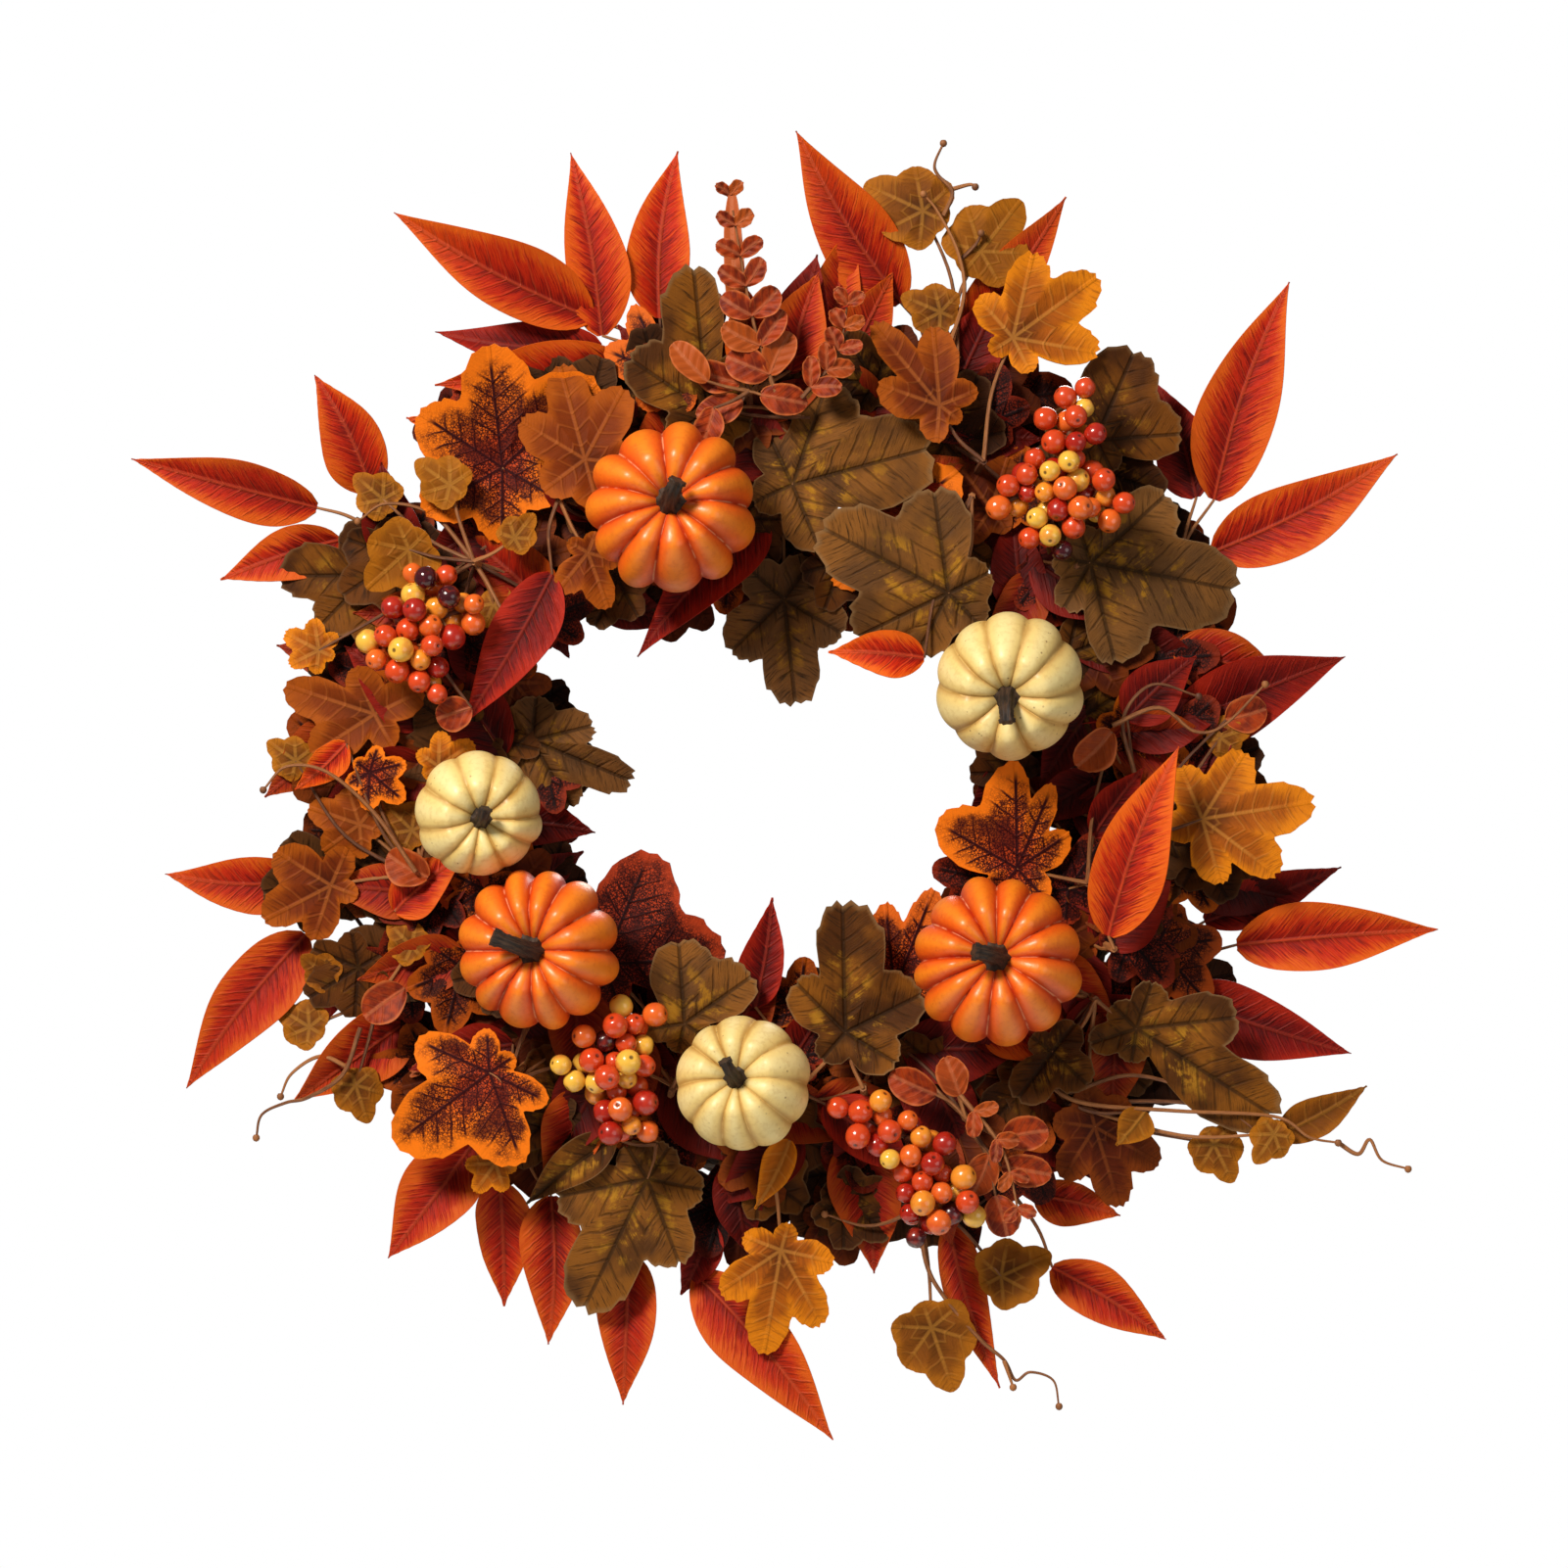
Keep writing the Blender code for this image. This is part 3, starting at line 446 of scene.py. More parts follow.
class Build:
    """One piece's geometry, with the two attributes its materials read.

    On a leaf, leaf is (millimetres along a vein, millimetres from it, share in from the edge), and tone is
    (random, shade, share along). On a tube, leaf is (millimetres along, turn round it, 1).
    """

    def __init__(self, name):
        self.name = name
        self.points, self.faces, self.leaf, self.tone, self.paints, self.indices = [], [], [], [], [], []
        self.count = 0

    def add(self, points, faces, paint, leaf, tone):
        points = np.asarray(points, float).reshape(-1, 3)
        if paint not in self.paints:
            self.paints.append(paint)
        self.points.append(points)
        self.faces += [[i + self.count for i in face] for face in faces]
        self.indices += [self.paints.index(paint)] * len(faces)
        self.leaf.append(np.broadcast_to(leaf, points.shape))
        self.tone.append(np.broadcast_to(tone, points.shape))
        self.count += len(points)

    def finish(self, body, slot, *nodes, crease=50):
        mesh = bpy.data.meshes.new(self.name)
        mesh.from_pydata(np.vstack(self.points).tolist(), [], self.faces)
        for label, rows in (("leaf", self.leaf), ("tone", self.tone)):
            made = mesh.attributes.new(label, "FLOAT_VECTOR", "POINT")
            made.data.foreach_set("vector", np.vstack(rows).astype(np.float32).ravel())
        for paint in self.paints:
            mesh.materials.append(paint)
        mesh.polygons.foreach_set("material_index", self.indices)
        mesh.shade_smooth()
        mesh.set_sharp_from_angle(angle=radians(crease))
        mesh.update()
        obj = bpy.data.objects.new(self.name, mesh)
        bpy.context.scene.collection.objects.link(obj)
        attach(obj, body)
        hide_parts(*nodes)


def grid_faces(rows, columns, wrap=False):
    """Quads of a grid of points numbered row by row; wrap joins the last column to the first."""
    last = columns if wrap else columns - 1
    i, j = np.meshgrid(np.arange(rows - 1), np.arange(last), indexing="ij")
    i, j = i.ravel(), j.ravel()
    k = (j + 1) % columns
    corners = [i * columns + j, i * columns + k, (i + 1) * columns + k, (i + 1) * columns + j]
    return np.stack(corners, axis=1).tolist()


def closed_faces(rows, columns):
    """The faces of a wrapped grid whose ends close on two more points, numbered after the grid's own."""
    faces = grid_faces(rows, columns, wrap=True)
    first, last = rows * columns, (rows - 1) * columns
    for j in range(columns):
        k = (j + 1) % columns
        faces += [[first, k, j], [first + 1, last + j, last + k]]
    return faces


def turned_over(faces):
    return [face[::-1] for face in faces]


def columns_of(*parts):
    """One array whose last axis holds the parts, each spread to the shape they share."""
    return np.stack(np.broadcast_arrays(*parts), axis=-1)


def sample(line, lengths, at):
    """The point this far along a line whose points lie at these lengths."""
    return np.array([np.interp(at, lengths, line[:, axis]) for axis in range(3)])


def lengths_of(line):
    """How far along a line each of its points lies."""
    return np.r_[0, np.cumsum(np.linalg.norm(np.diff(line, axis=0), axis=1))]


def vertex_normals(points, faces):
    normals = np.zeros_like(points)
    for corners in (3, 4):
        group = np.array([face for face in faces if len(face) == corners])
        if len(group):
            first = points[group[:, 0]]
            across = np.cross(points[group[:, 1]] - first, points[group[:, -1]] - first)
            for corner in range(corners):
                np.add.at(normals, group[:, corner], across)
    return normals / np.maximum(np.linalg.norm(normals, axis=1, keepdims=True), 1e-12)


def shell(points, faces, thickness):
    """A thin closed solid behind an open surface whose front faces the viewer."""
    normals = vertex_normals(points, faces)
    if normals[:, 1].mean() > 0:
        faces, normals = turned_over(faces), -normals
    count = len(points)
    directed = {(face[k], face[(k + 1) % len(face)]) for face in faces for k in range(len(face))}
    rim = [[b, a, a + count, b + count] for a, b in sorted(directed) if (b, a) not in directed]
    back = [[i + count for i in face] for face in turned_over(faces)]
    return np.vstack([points, points - normals * thickness]), faces + back + rim


def smooth_run(points, steps=8):
    """A smooth line through points (Catmull-Rom), steps samples to a stretch."""
    points = [np.asarray(p, float) for p in points]
    if len(points) == 2:
        return np.array([points[0] + (points[1] - points[0]) * k / steps for k in range(steps + 1)])
    padded = [2 * points[0] - points[1], *points, 2 * points[-1] - points[-2]]
    found = []
    for a, b, c, d in zip(padded, padded[1:], padded[2:], padded[3:]):
        for k in range(steps):
            t = k / steps
            square, cube = 2 * a - 5 * b + 4 * c - d, 3 * b - a - 3 * c + d
            found.append(0.5 * (2 * b + (c - a) * t + square * t**2 + cube * t**3))
    return np.array([*found, points[-1]])


def tube(run, radii, sides=8, cyclic=False, ridges=0, ridge_depth=0.0, lumps=1.0):
    """A closed tube along a run: its points, its faces and its leaf attribute."""
    run = np.asarray(run, float)
    ahead = np.roll(run, -1, 0) - np.roll(run, 1, 0) if cyclic else np.gradient(run, axis=0)
    ahead /= np.maximum(np.linalg.norm(ahead, axis=1, keepdims=True), 1e-12)
    side = np.cross(ahead[0], (0, 1, 0) if abs(ahead[0][1]) < 0.9 else (1, 0, 0))
    sides_of = []
    for direction in ahead:
        side = side - direction * (side @ direction)
        side /= np.linalg.norm(side)
        sides_of.append(side)
    sides_of = np.array(sides_of)
    up = np.cross(ahead, sides_of)
    turn = np.arange(sides) * tau / sides
    furrow = ridge_depth * (0.5 - 0.5 * np.cos(ridges * turn))
    reach = np.broadcast_to(radii, len(run))[:, None] * (1 - furrow)[None, :] * lumps
    around = sides_of[:, None, :] * np.cos(turn)[None, :, None] + up[:, None, :] * np.sin(turn)[None, :, None]
    points = run[:, None, :] + around * reach[:, :, None]
    along = lengths_of(run) / MM
    leaf = columns_of(along[:, None], turn[None, :], 1.0)
    rows = len(run)
    if cyclic:
        faces = grid_faces(rows, sides, wrap=True)
        shift = int(np.argmin(np.linalg.norm(points[0] - points[-1][0] - (run[0] - run[-1]), axis=1)))
        last = (rows - 1) * sides
        for j in range(sides):
            k = (j + 1) % sides
            faces.append([last + j, last + k, (k + shift) % sides, (j + shift) % sides])
        return points.reshape(-1, 3), faces, leaf.reshape(-1, 3)
    points = np.vstack([points.reshape(-1, 3), run[0], run[-1]])
    leaf = np.vstack([leaf.reshape(-1, 3), (along[0], 0, 0), (along[-1], 0, 0)])
    return points, closed_faces(rows, sides), leaf


def add_stalk(build, points, radius, rng, steps=6, end=0.6):
    """A round stalk through points, which narrows to this share of its radius at the end."""
    run = smooth_run(points, steps)
    made, faces, leaf = tube(run, np.linspace(radius, radius * end, len(run)), 6)
    build.add(made, faces, PAINTS["stalk"], leaf, (rng.random(), 0, 0))


# --- Leaves ---------------------------------------------------------------------------------------

# How each kind of lobed leaf is cut: how far out its notches lie, how round its lobes are, tooth size,
# teeth on half a lobe, quilting.
CUTS = {
    "grape": (0.84, 1.0, 0.1, 3, 0.6),
    "maple": (0.74, 0.5, 0.07, 3, 0.25),
    "maple_dark": (0.74, 0.5, 0.07, 3, 0.25),
    "amber": (0.74, 0.6, 0.08, 3, 0.3),
    "gold": (0.74, 0.6, 0.1, 3, 0.3),
    "ivy": (0.95, 0.4, 0.03, 2, 0.25),
}


def lance_points(leaf, at, rng, rows=36, columns=13):
    """The front surface of a long leaf: widest near its base, folded on its midrib, arched and twisted."""
    base, tip = np.array(leaf["base"], float), np.array(leaf["tip"], float)
    length = np.linalg.norm(tip - base)
    way = (tip - base) / length
    side = np.array([-way[1], way[0]])
    u = np.linspace(0.004, 0.997, rows) ** 0.9
    v = np.linspace(-1, 1, columns)
    round_leaf = leaf["kind"] == "eucalyptus"
    blunt, sharp = (0.55, 0.5) if round_leaf else (0.62, 1.25)
    profile = u**blunt * (1 - u) ** sharp
    profile /= profile.max()
    half = leaf["width"] / 2 * profile
    phase = rng.random(3) * tau
    lean = rng.uniform(-0.1, 0.1)
    wave = 1 + 0.07 * np.sin(8 * u[:, None] + phase[0] + 1.5 * v[None, :]) * (1 - u[:, None])
    across = half[:, None] * v[None, :] * (wave + lean * v[None, :])
    bend = rng.uniform(-0.045, 0.045) * length * np.sin(pi * u)
    arch = rng.uniform(0.02, 0.07) * length * np.sin(pi * u)
    curl = rng.uniform(-0.03, 0.08) * length * u**3
    fold = rng.uniform(0.16, 0.42)
    twist = rng.uniform(-0.45, 0.45) * u + rng.uniform(-0.12, 0.12)
    slant = u[:, None] * length - 0.9 * np.abs(across)
    quilt = 0.28 * np.sin(tau * slant / leaf_pitch(leaf)) * np.abs(v)[None, :] * (1 - np.abs(v)[None, :]) * 4
    ripple = 0.5 * np.sin(tau * u[:, None] * 2.3 + phase[1]) * v[None, :] ** 2 * (1 - u[:, None])
    out = across * np.cos(twist)[:, None]
    lift = fold * np.abs(across) + across * np.sin(twist)[:, None] + quilt + ripple
    x = base[0] + way[0] * u[:, None] * length + side[0] * (out + bend[:, None])
    z = base[1] + way[1] * u[:, None] * length + side[1] * (out + bend[:, None])
    depth = at + (leaf["lift"] * u[:, None] + arch[:, None] - curl[:, None] + lift) * MM
    facts = columns_of(u[:, None] * length, np.abs(across), 1 - np.abs(v)[None, :])
    return spot(x, z, depth), facts, u, length


def leaf_pitch(leaf):
    """Millimetres between side veins."""
    return 3.2 if leaf["kind"] == "eucalyptus" else 5.5


def add_lance(build, leaf, at, rng, shade=0.0):
    points, facts, u, length = lance_points(leaf, at, rng)
    rows, columns = points.shape[:2]
    made, faces = shell(points.reshape(-1, 3), grid_faces(rows, columns), LEAF_THICKNESS)
    facts = np.vstack([facts.reshape(-1, 3)] * 2)
    share = np.tile(np.repeat(u, columns), 2)
    tone = columns_of(rng.random(), shade, share)
    build.add(made, faces, PAINTS[leaf["kind"]], facts, tone)
    middle = points[:, columns // 2]
    reach = middle[: int(rows * 0.8)] + np.array((0, 0.0001, 0))
    rib, rib_faces, _ = tube(reach, np.linspace(0.0005, 0.00018, len(reach)), 6)
    build.add(rib, rib_faces, PAINTS[leaf["kind"]], (length / 2, 0, 0.9), (tone[0][0], shade, 0.4))
    return middle[0]


def lobed_spokes(leaf, rng, samples):
    """The outline as spokes: angle, reach and the angle of each spoke's lobe."""
    notch_share, roundness, tooth, teeth, _ = CUTS[leaf["kind"]]
    centre = np.array(leaf["centre"], float)
    tips = sorted(
        (atan2(z - centre[1], x - centre[0]), hypot(x - centre[0], z - centre[1])) for x, z in leaf["tips"]
    )
    lobes = []
    for index, (angle, reach) in enumerate(tips):
        next_angle, next_reach = tips[(index + 1) % len(tips)]
        gap = (next_angle - angle) % tau
        steps = max(1, round(gap / radians(75)))
        lobes.append((angle, reach))
        lobes += [(angle + gap * step / steps, min(reach, next_reach) * 0.7) for step in range(1, steps)]
    spokes = []
    for index, (angle, reach) in enumerate(lobes):
        for side in (-1, 1):
            other_angle, other_reach = lobes[(index + side) % len(lobes)]
            gap = ((other_angle - angle) * side) % tau / 2
            low = min(reach, other_reach) * notch_share
            if gap > radians(38):
                low *= 0.8
            shares = np.arange(samples + 1) / samples
            for share in shares[-2:0:-1] if side < 0 else shares:
                saw = (share * teeth) % 1
                bite = tooth * reach * (1 - saw) * (0.4 + 0.6 * rng.random())
                body = low + (reach - low) * (1 - share) * (1 + roundness * share)
                spokes.append((angle + side * gap * share, body + bite * (share > 0) - bite * 0.3, angle))
    return np.array(spokes)


def lobed_points(leaf, at, rng, samples, rings):
    """The front surface of a lobed leaf: each lobe folded on its vein, the whole tilted, cupped and waved."""
    quilting = CUTS[leaf["kind"]][4]
    angle, reach, vein_angle = lobed_spokes(leaf, rng, samples).T
    share = (np.arange(1, rings + 1) / rings) ** 0.85
    r = share[:, None] * reach[None, :]
    size = reach.max()
    off = angle - vein_angle
    along, across = r * np.cos(off)[None, :], r * np.abs(np.sin(off))[None, :]
    x, z = r * np.cos(angle)[None, :], r * np.sin(angle)[None, :]
    tilt = rng.uniform(-0.16, 0.16, 2)
    cup = rng.uniform(0.0, 0.12)
    curl = rng.uniform(-0.22, 0.1)
    phase = rng.random(2) * tau
    fold = rng.uniform(0.16, 0.34)
    lift = tilt[0] * x + tilt[1] * z + cup * r + curl * r**2 / size
    lift += fold * across * (1 - 0.4 * share[:, None])
    lift += 0.035 * size * share[:, None] ** 2 * np.sin(3 * angle + phase[0])[None, :]
    slant = along - 0.75 * across
    quilt = quilting * np.sin(tau * slant / 6.0 + phase[1]) * np.minimum(across / 4, 1)
    lift += quilt * (1 - share[:, None]) * 1.4
    points = spot(leaf["centre"][0] + x, leaf["centre"][1] + z, at + lift * MM)
    return points, columns_of(along, across, 1 - share[:, None]), share


def add_lobed(build, leaf, at, rng, shade=0.0, fine=True):
    samples, rings = (9, 9) if fine else (5, 5)
    points, facts, share = lobed_points(leaf, at, rng, samples, rings)
    count = points.shape[1]
    middle = spot(leaf["centre"][0], leaf["centre"][1], at)
    flat = np.vstack([points.reshape(-1, 3), middle])
    hub = rings * count
    faces = grid_faces(rings, count, wrap=True) + [[hub, (j + 1) % count, j] for j in range(count)]
    made, faces = shell(flat, faces, LEAF_THICKNESS)
    facts = np.vstack([facts.reshape(-1, 3), (0, 0, 1)] * 2)
    along = np.tile(np.r_[np.repeat(share, count), 0], 2)
    build.add(made, faces, PAINTS[leaf["kind"]], facts, columns_of(rng.random(), shade, along))
    return middle


def add_leaf(build, leaf, hub, forward, at, rng, shade=0.0, stalk=True, fine=True):
    """A leaf at its depth, and the curved stalk that joins it to the spray's hub."""
    if leaf["shape"] == "lance":
        joint = add_lance(build, leaf, at, rng, shade)
    else:
        joint = add_lobed(build, leaf, at, rng, shade, fine) + np.array((0, 0.0004, 0))
    if not stalk:
        return
    start = spot(hub[0], hub[1], (forward + at) / 2)
    sag = rng.uniform(-1, 1, 3) * np.linalg.norm(joint - start) * np.array((0.1, 0.02, 0.1))
    add_stalk(build, [start, (start + joint) / 2 + sag, joint], STALK_RADIUS, rng)


def column_points(hub, forward):
    """From just in front of a hub back to the surface of the ring."""
    angle = atan2(hub[1], hub[0])
    target = spot(RING_RADIUS / MM * cos(angle), RING_RADIUS / MM * sin(angle), 0.0)
    start = spot(hub[0], hub[1], forward)
    toward = (target - start) / np.linalg.norm(target - start)
    return [start, target - toward * (BUNDLE_RADIUS - 0.001)]


# --- Pumpkins, berries, vines ---------------------------------------------------------------------


def pumpkin_height(share, radius):
    """How high the top of a pumpkin stands above its centre, at a share of its radius from the axis."""
    dimple = 1 - PUMPKIN_DIMPLE * np.maximum(0, 1 - (share / 0.55) ** 2)
    return radius * PUMPKIN_FLATNESS * np.sqrt(np.maximum(0, 1 - share**2)) * dimple


def pumpkin_frame(centre, radius, stem_at):
    """The pumpkin's centre, and the turn that leans its axis toward its stem."""
    middle = Vector(spot(centre[0], centre[1], BUNDLE_RADIUS + PUMPKIN_DEPTH))
    lean = Vector((stem_at[0], 0, stem_at[1])) * MM / radius
    axis = (Vector((0, -1, 0)) + lean).normalized()
    return np.array(Matrix.Translation(middle) @ axis.to_track_quat("Z", "Y").to_matrix().to_4x4())


def moved(points, frame_matrix):
    return points @ frame_matrix[:3, :3].T + frame_matrix[:3, 3]


def build_pumpkin(name, paint, centre, size, ribs, stem_at, stem_to):
    """A body of rounded ribs between sharp grooves, each rib a little different, dimpled at both poles."""
    rng = seeded(name)
    radius = size * MM
    samples, rings = 15, 46
    widths = 1 + rng.uniform(-0.2, 0.2, ribs)
    starts = np.r_[0, np.cumsum(widths)] / widths.sum() * tau
    local = np.arange(samples) / samples
    turn = (starts[:-1, None] + np.diff(starts)[:, None] * local).ravel()
    t = np.tile(local * 2 - 1, ribs)
    plump = np.repeat(rng.uniform(-1, 1, ribs), samples)
    bulge = 1 - np.abs(t) ** 2.2
    polar = np.linspace(0.012, pi - 0.012, rings)
    share, sign = np.sin(polar)[:, None], np.sign(np.cos(polar))[:, None]
    groove = GROOVE_DEPTHS[paint] * (1 - bulge)[None, :]
    swell = 1 + 0.025 * plump[None, :] * bulge[None, :]
    out = radius * share * (1 - groove) * swell
    rise = pumpkin_height(share, radius) * sign * (1 - 0.55 * groove * np.minimum(1, share * 2.2))
    shoulder = sign * 0.045 * radius * bulge[None, :] * np.sin(pi * np.minimum(share * 1.15, 1))
    rise += shoulder * (share < 0.999)
    rise -= sign * 0.16 * radius * np.exp(-((share / 0.2) ** 2))
    lump = 0.006 * radius * np.sin(3 * turn + rng.random() * tau)[None, :] * np.sin(4 * polar)[:, None]
    points = columns_of((out + lump) * np.cos(turn), (out + lump) * np.sin(turn), rise).reshape(-1, 3)
    points = np.vstack([points, (0, 0, points[0][2]), (0, 0, points[-1][2])])
    faces = turned_over(closed_faces(rings, len(turn)))
    facts = columns_of(np.abs(t)[None, :], share, np.cos(polar)[:, None]).reshape(-1, 3)
    facts = np.vstack([facts, (0, 0, 1), (0, 0, -1)])
    tone = columns_of(rng.random(), np.r_[np.tile(plump * 0.5 + 0.5, rings), 0.5, 0.5], 0)
    matrix = pumpkin_frame(centre, radius, stem_at)
    build = Build(name + "_shell")
    build.add(moved(points, matrix), faces, PAINTS[paint], facts, tone)
    run = column_points(centre, BUNDLE_RADIUS + PUMPKIN_DEPTH)
    made, faces, leaf = tube(smooth_run(run, 6), PUMPKIN_WIRE_RADIUS)
    build.add(made, faces, PAINTS["wire"], leaf, (0.5, 0, 0))
    build.finish("wreath", paint, name, crease=60)
    build_pumpkin_stem(name, matrix, radius, stem_to, rng)


def build_pumpkin_stem(name, matrix, radius, stem_to, rng):
    """A ridged stem with a flared foot in the dimple and a cut end."""
    base = radius * 0.14
    seat = float(pumpkin_height(np.array(sin(pi / 8)), radius))
    turn_back = np.linalg.inv(matrix[:3, :3])
    reach = turn_back @ (np.array((stem_to[0], -radius * 240, stem_to[1])) * MM)
    start = np.array((0, 0, seat - 0.14 * radius))
    steps = ((0, 0), (0.12, 0), (0.24, 0.45), (0.16, 1))
    run = smooth_run([start + (0, 0, rise * radius) + reach * share for rise, share in steps], 7)
    share = np.linspace(0, 1, len(run))
    radii = base * (0.86 + 0.95 * np.exp(-((share / 0.16) ** 2)) - 0.22 * share + 0.16 * (share > 0.9))
    lumps = 1 + 0.05 * np.sin(9 * share[:, None] * tau + np.arange(30)[None, :] * 1.7)
    made, faces, leaf = tube(run, radii, 30, ridges=6, ridge_depth=0.3, lumps=lumps)
    cut_end = np.arange(len(made)) == len(made) - 1
    tone = columns_of(rng.random(), 0, cut_end)
    build = Build(name + "_stem_ridged")
    build.add(moved(made, matrix), faces, PAINTS["pumpkin_stem"], leaf, tone)
    build.finish("wreath", "pumpkin_stem", name + "_stem", crease=70)


def sphere(radius, sides=18, rings=12):
    """A round berry about its own Z axis, with a small pit at its far end."""
    polar = np.linspace(0.06, pi - 0.06, rings)
    turn = np.arange(sides) * tau / sides
    pit = 1 - 0.16 * np.exp(-((polar / 0.3) ** 2))
    out, height = np.sin(polar)[:, None], np.cos(polar) * pit * 1.06
    points = columns_of(out * np.cos(turn), out * np.sin(turn), height[:, None]).reshape(-1, 3) * radius
    points = np.vstack([points, (0, 0, points[0][2] * 0.97), (0, 0, points[-1][2])])
    away = np.r_[np.repeat(polar, sides), 0, pi]
    return points, turned_over(closed_faces(rings, sides)), columns_of(away, 0, 0)


def berry_places(stems, rng):
    """Where berries sit round each stem, pushed apart until none overlap."""
    places, anchors = [], []
    for run in stems:
        line = smooth_run(run, 10)
        along = lengths_of(line)
        count = max(3, round(along[-1] / BERRY_SPACING))
        for k in range(count):
            anchor = sample(line, along, along[-1] * (k + 0.5) / count)
            turn = len(places) * GOLDEN_ANGLE
            out = np.array((cos(turn), -0.45 - 0.3 * rng.random(), sin(turn)))
            places.append(anchor + out / np.linalg.norm(out) * rng.uniform(*BERRY_REACH))
            anchors.append(anchor)
    places, anchors = np.array(places), np.array(anchors)
    radii = rng.uniform(*BERRY_RADII, len(places))
    for _ in range(BERRY_PUSHES):
        gap = places[:, None] - places[None, :]
        apart = np.linalg.norm(gap, axis=2) + np.eye(len(places))
        short = np.maximum(0, (radii[:, None] + radii[None, :]) * 1.01 - apart)
        np.fill_diagonal(short, 0)
        places += (gap / apart[:, :, None] * short[:, :, None]).sum(1) * 0.45
        places += (anchors - places) * 0.01
    return places, anchors, radii


def build_berries(name, hub, stems):
    rng = seeded(name)
    forward = BUNDLE_RADIUS + BERRY_DEPTH
    build = Build(name + "_cluster")
    runs = [[spot(x, z, forward - 0.002) for x, z in stem] for stem in stems]
    for run in [column_points(hub, forward)] + runs:
        add_stalk(build, run, BERRY_STEM_RADIUS, rng, 8, 0.8)
    places, anchors, radii = berry_places(runs, rng)
    for place, anchor, radius in zip(places, anchors, radii):
        away = Vector(place - anchor).normalized()
        turned = np.array(away.to_track_quat("Z", "Y").to_matrix())
        points, faces, leaf = sphere(radius)
        build.add(points @ turned.T + place, faces, PAINTS["berry"], leaf, (rng.random(), rng.random(), 0))
        elbow = (anchor + place) / 2 + (0, 0.0008, 0)
        add_stalk(build, [anchor, elbow, place], BERRY_STALK_RADIUS, rng, 3, 0.9)
    add_extras(build, name, hub, forward, rng)
    build.finish("wreath", "berry", name, crease=60)


def vine_run(phase, samples=420):
    """A strand's line: the core where phase is None, or one wound round it from that phase."""
    angle = np.arange(samples) * tau / samples
    out = forward = np.zeros(samples)
    if phase is not None:
        out = HELIX_RADIUS * np.cos(STRAND_TWISTS * angle + phase)
        forward = HELIX_RADIUS * np.sin(STRAND_TWISTS * angle + phase)
    reach = RING_RADIUS + out
    return spot(reach * np.cos(angle) / MM, reach * np.sin(angle) / MM, forward)


def build_vine(name, phase):
    """A rough woody strand: knots along it and shallow ridges round it."""
    rng = seeded(name)
    run = vine_run(phase)
    share = np.arange(len(run))[:, None] / len(run) * tau
    turn = np.arange(BARK_SIDES)[None, :] / BARK_SIDES * tau
    waves = rng.random(8) * tau
    lumps = 1 + 0.035 * np.sin(31 * share + waves[0]) + 0.03 * np.sin(53 * share + 2 * turn + waves[1])
    lumps = lumps + 0.035 * np.sin(5 * turn + 6 * np.sin(7 * share + waves[2]))
    lumps = lumps + 0.025 * np.sin(97 * share - turn + waves[3])
    for knot in rng.random(KNOTS) * tau:
        near = np.cos((share - knot) / 2) ** 2
        lumps = lumps + 0.1 * np.exp(-(1 - near) * 9000) * (1 + 0.5 * np.cos(turn + waves[4]))
    made, faces, leaf = tube(run, STRAND_RADIUS * 0.96, BARK_SIDES, cyclic=True, lumps=lumps)
    build = Build(name + "_bark")
    build.add(made, faces, PAINTS["bark"], leaf, (rng.random(), 0, 0))
    build.finish("wreath", "vine", name, crease=180)


# --- Materials ------------------------------------------------------------------------------------

PAINTS = {}


def rgb(red, green, blue):
    """Linear colour from the 0 to 255 values a picture shows."""
    shares = [channel / 255 for channel in (red, green, blue)]
    return (*[s / 12.92 if s <= 0.04045 else ((s + 0.055) / 1.055) ** 2.4 for s in shares], 1.0)


class Wire:
    """A value on its way through a material, with the arithmetic of Math nodes."""

    def __init__(self, paint, socket):
        self.paint, self.socket = paint, socket

    def math(self, operation, other):
        return self.paint.node("ShaderNodeMath", self, other, operation=operation)

    def __add__(self, other):
        return self.math("ADD", other)

    def __sub__(self, other):
        return self.math("SUBTRACT", other)

    def __rsub__(self, other):
        return self.paint.node("ShaderNodeMath", other, self, operation="SUBTRACT")

    def __mul__(self, other):
        return self.math("MULTIPLY", other)

    def most(self, other):
        return self.math("MAXIMUM", other)

    def smooth(self, low, high):
        """0 below low, 1 above high, and smooth between."""
        span = (low, high, 0.0, 1.0)
        return self.paint.node("ShaderNodeMapRange", self, *span, interpolation_type="SMOOTHSTEP")

    def fade(self, low, high):
        """1 below low, 0 above high, and smooth between."""
        return 1.0 - self.smooth(low, high)


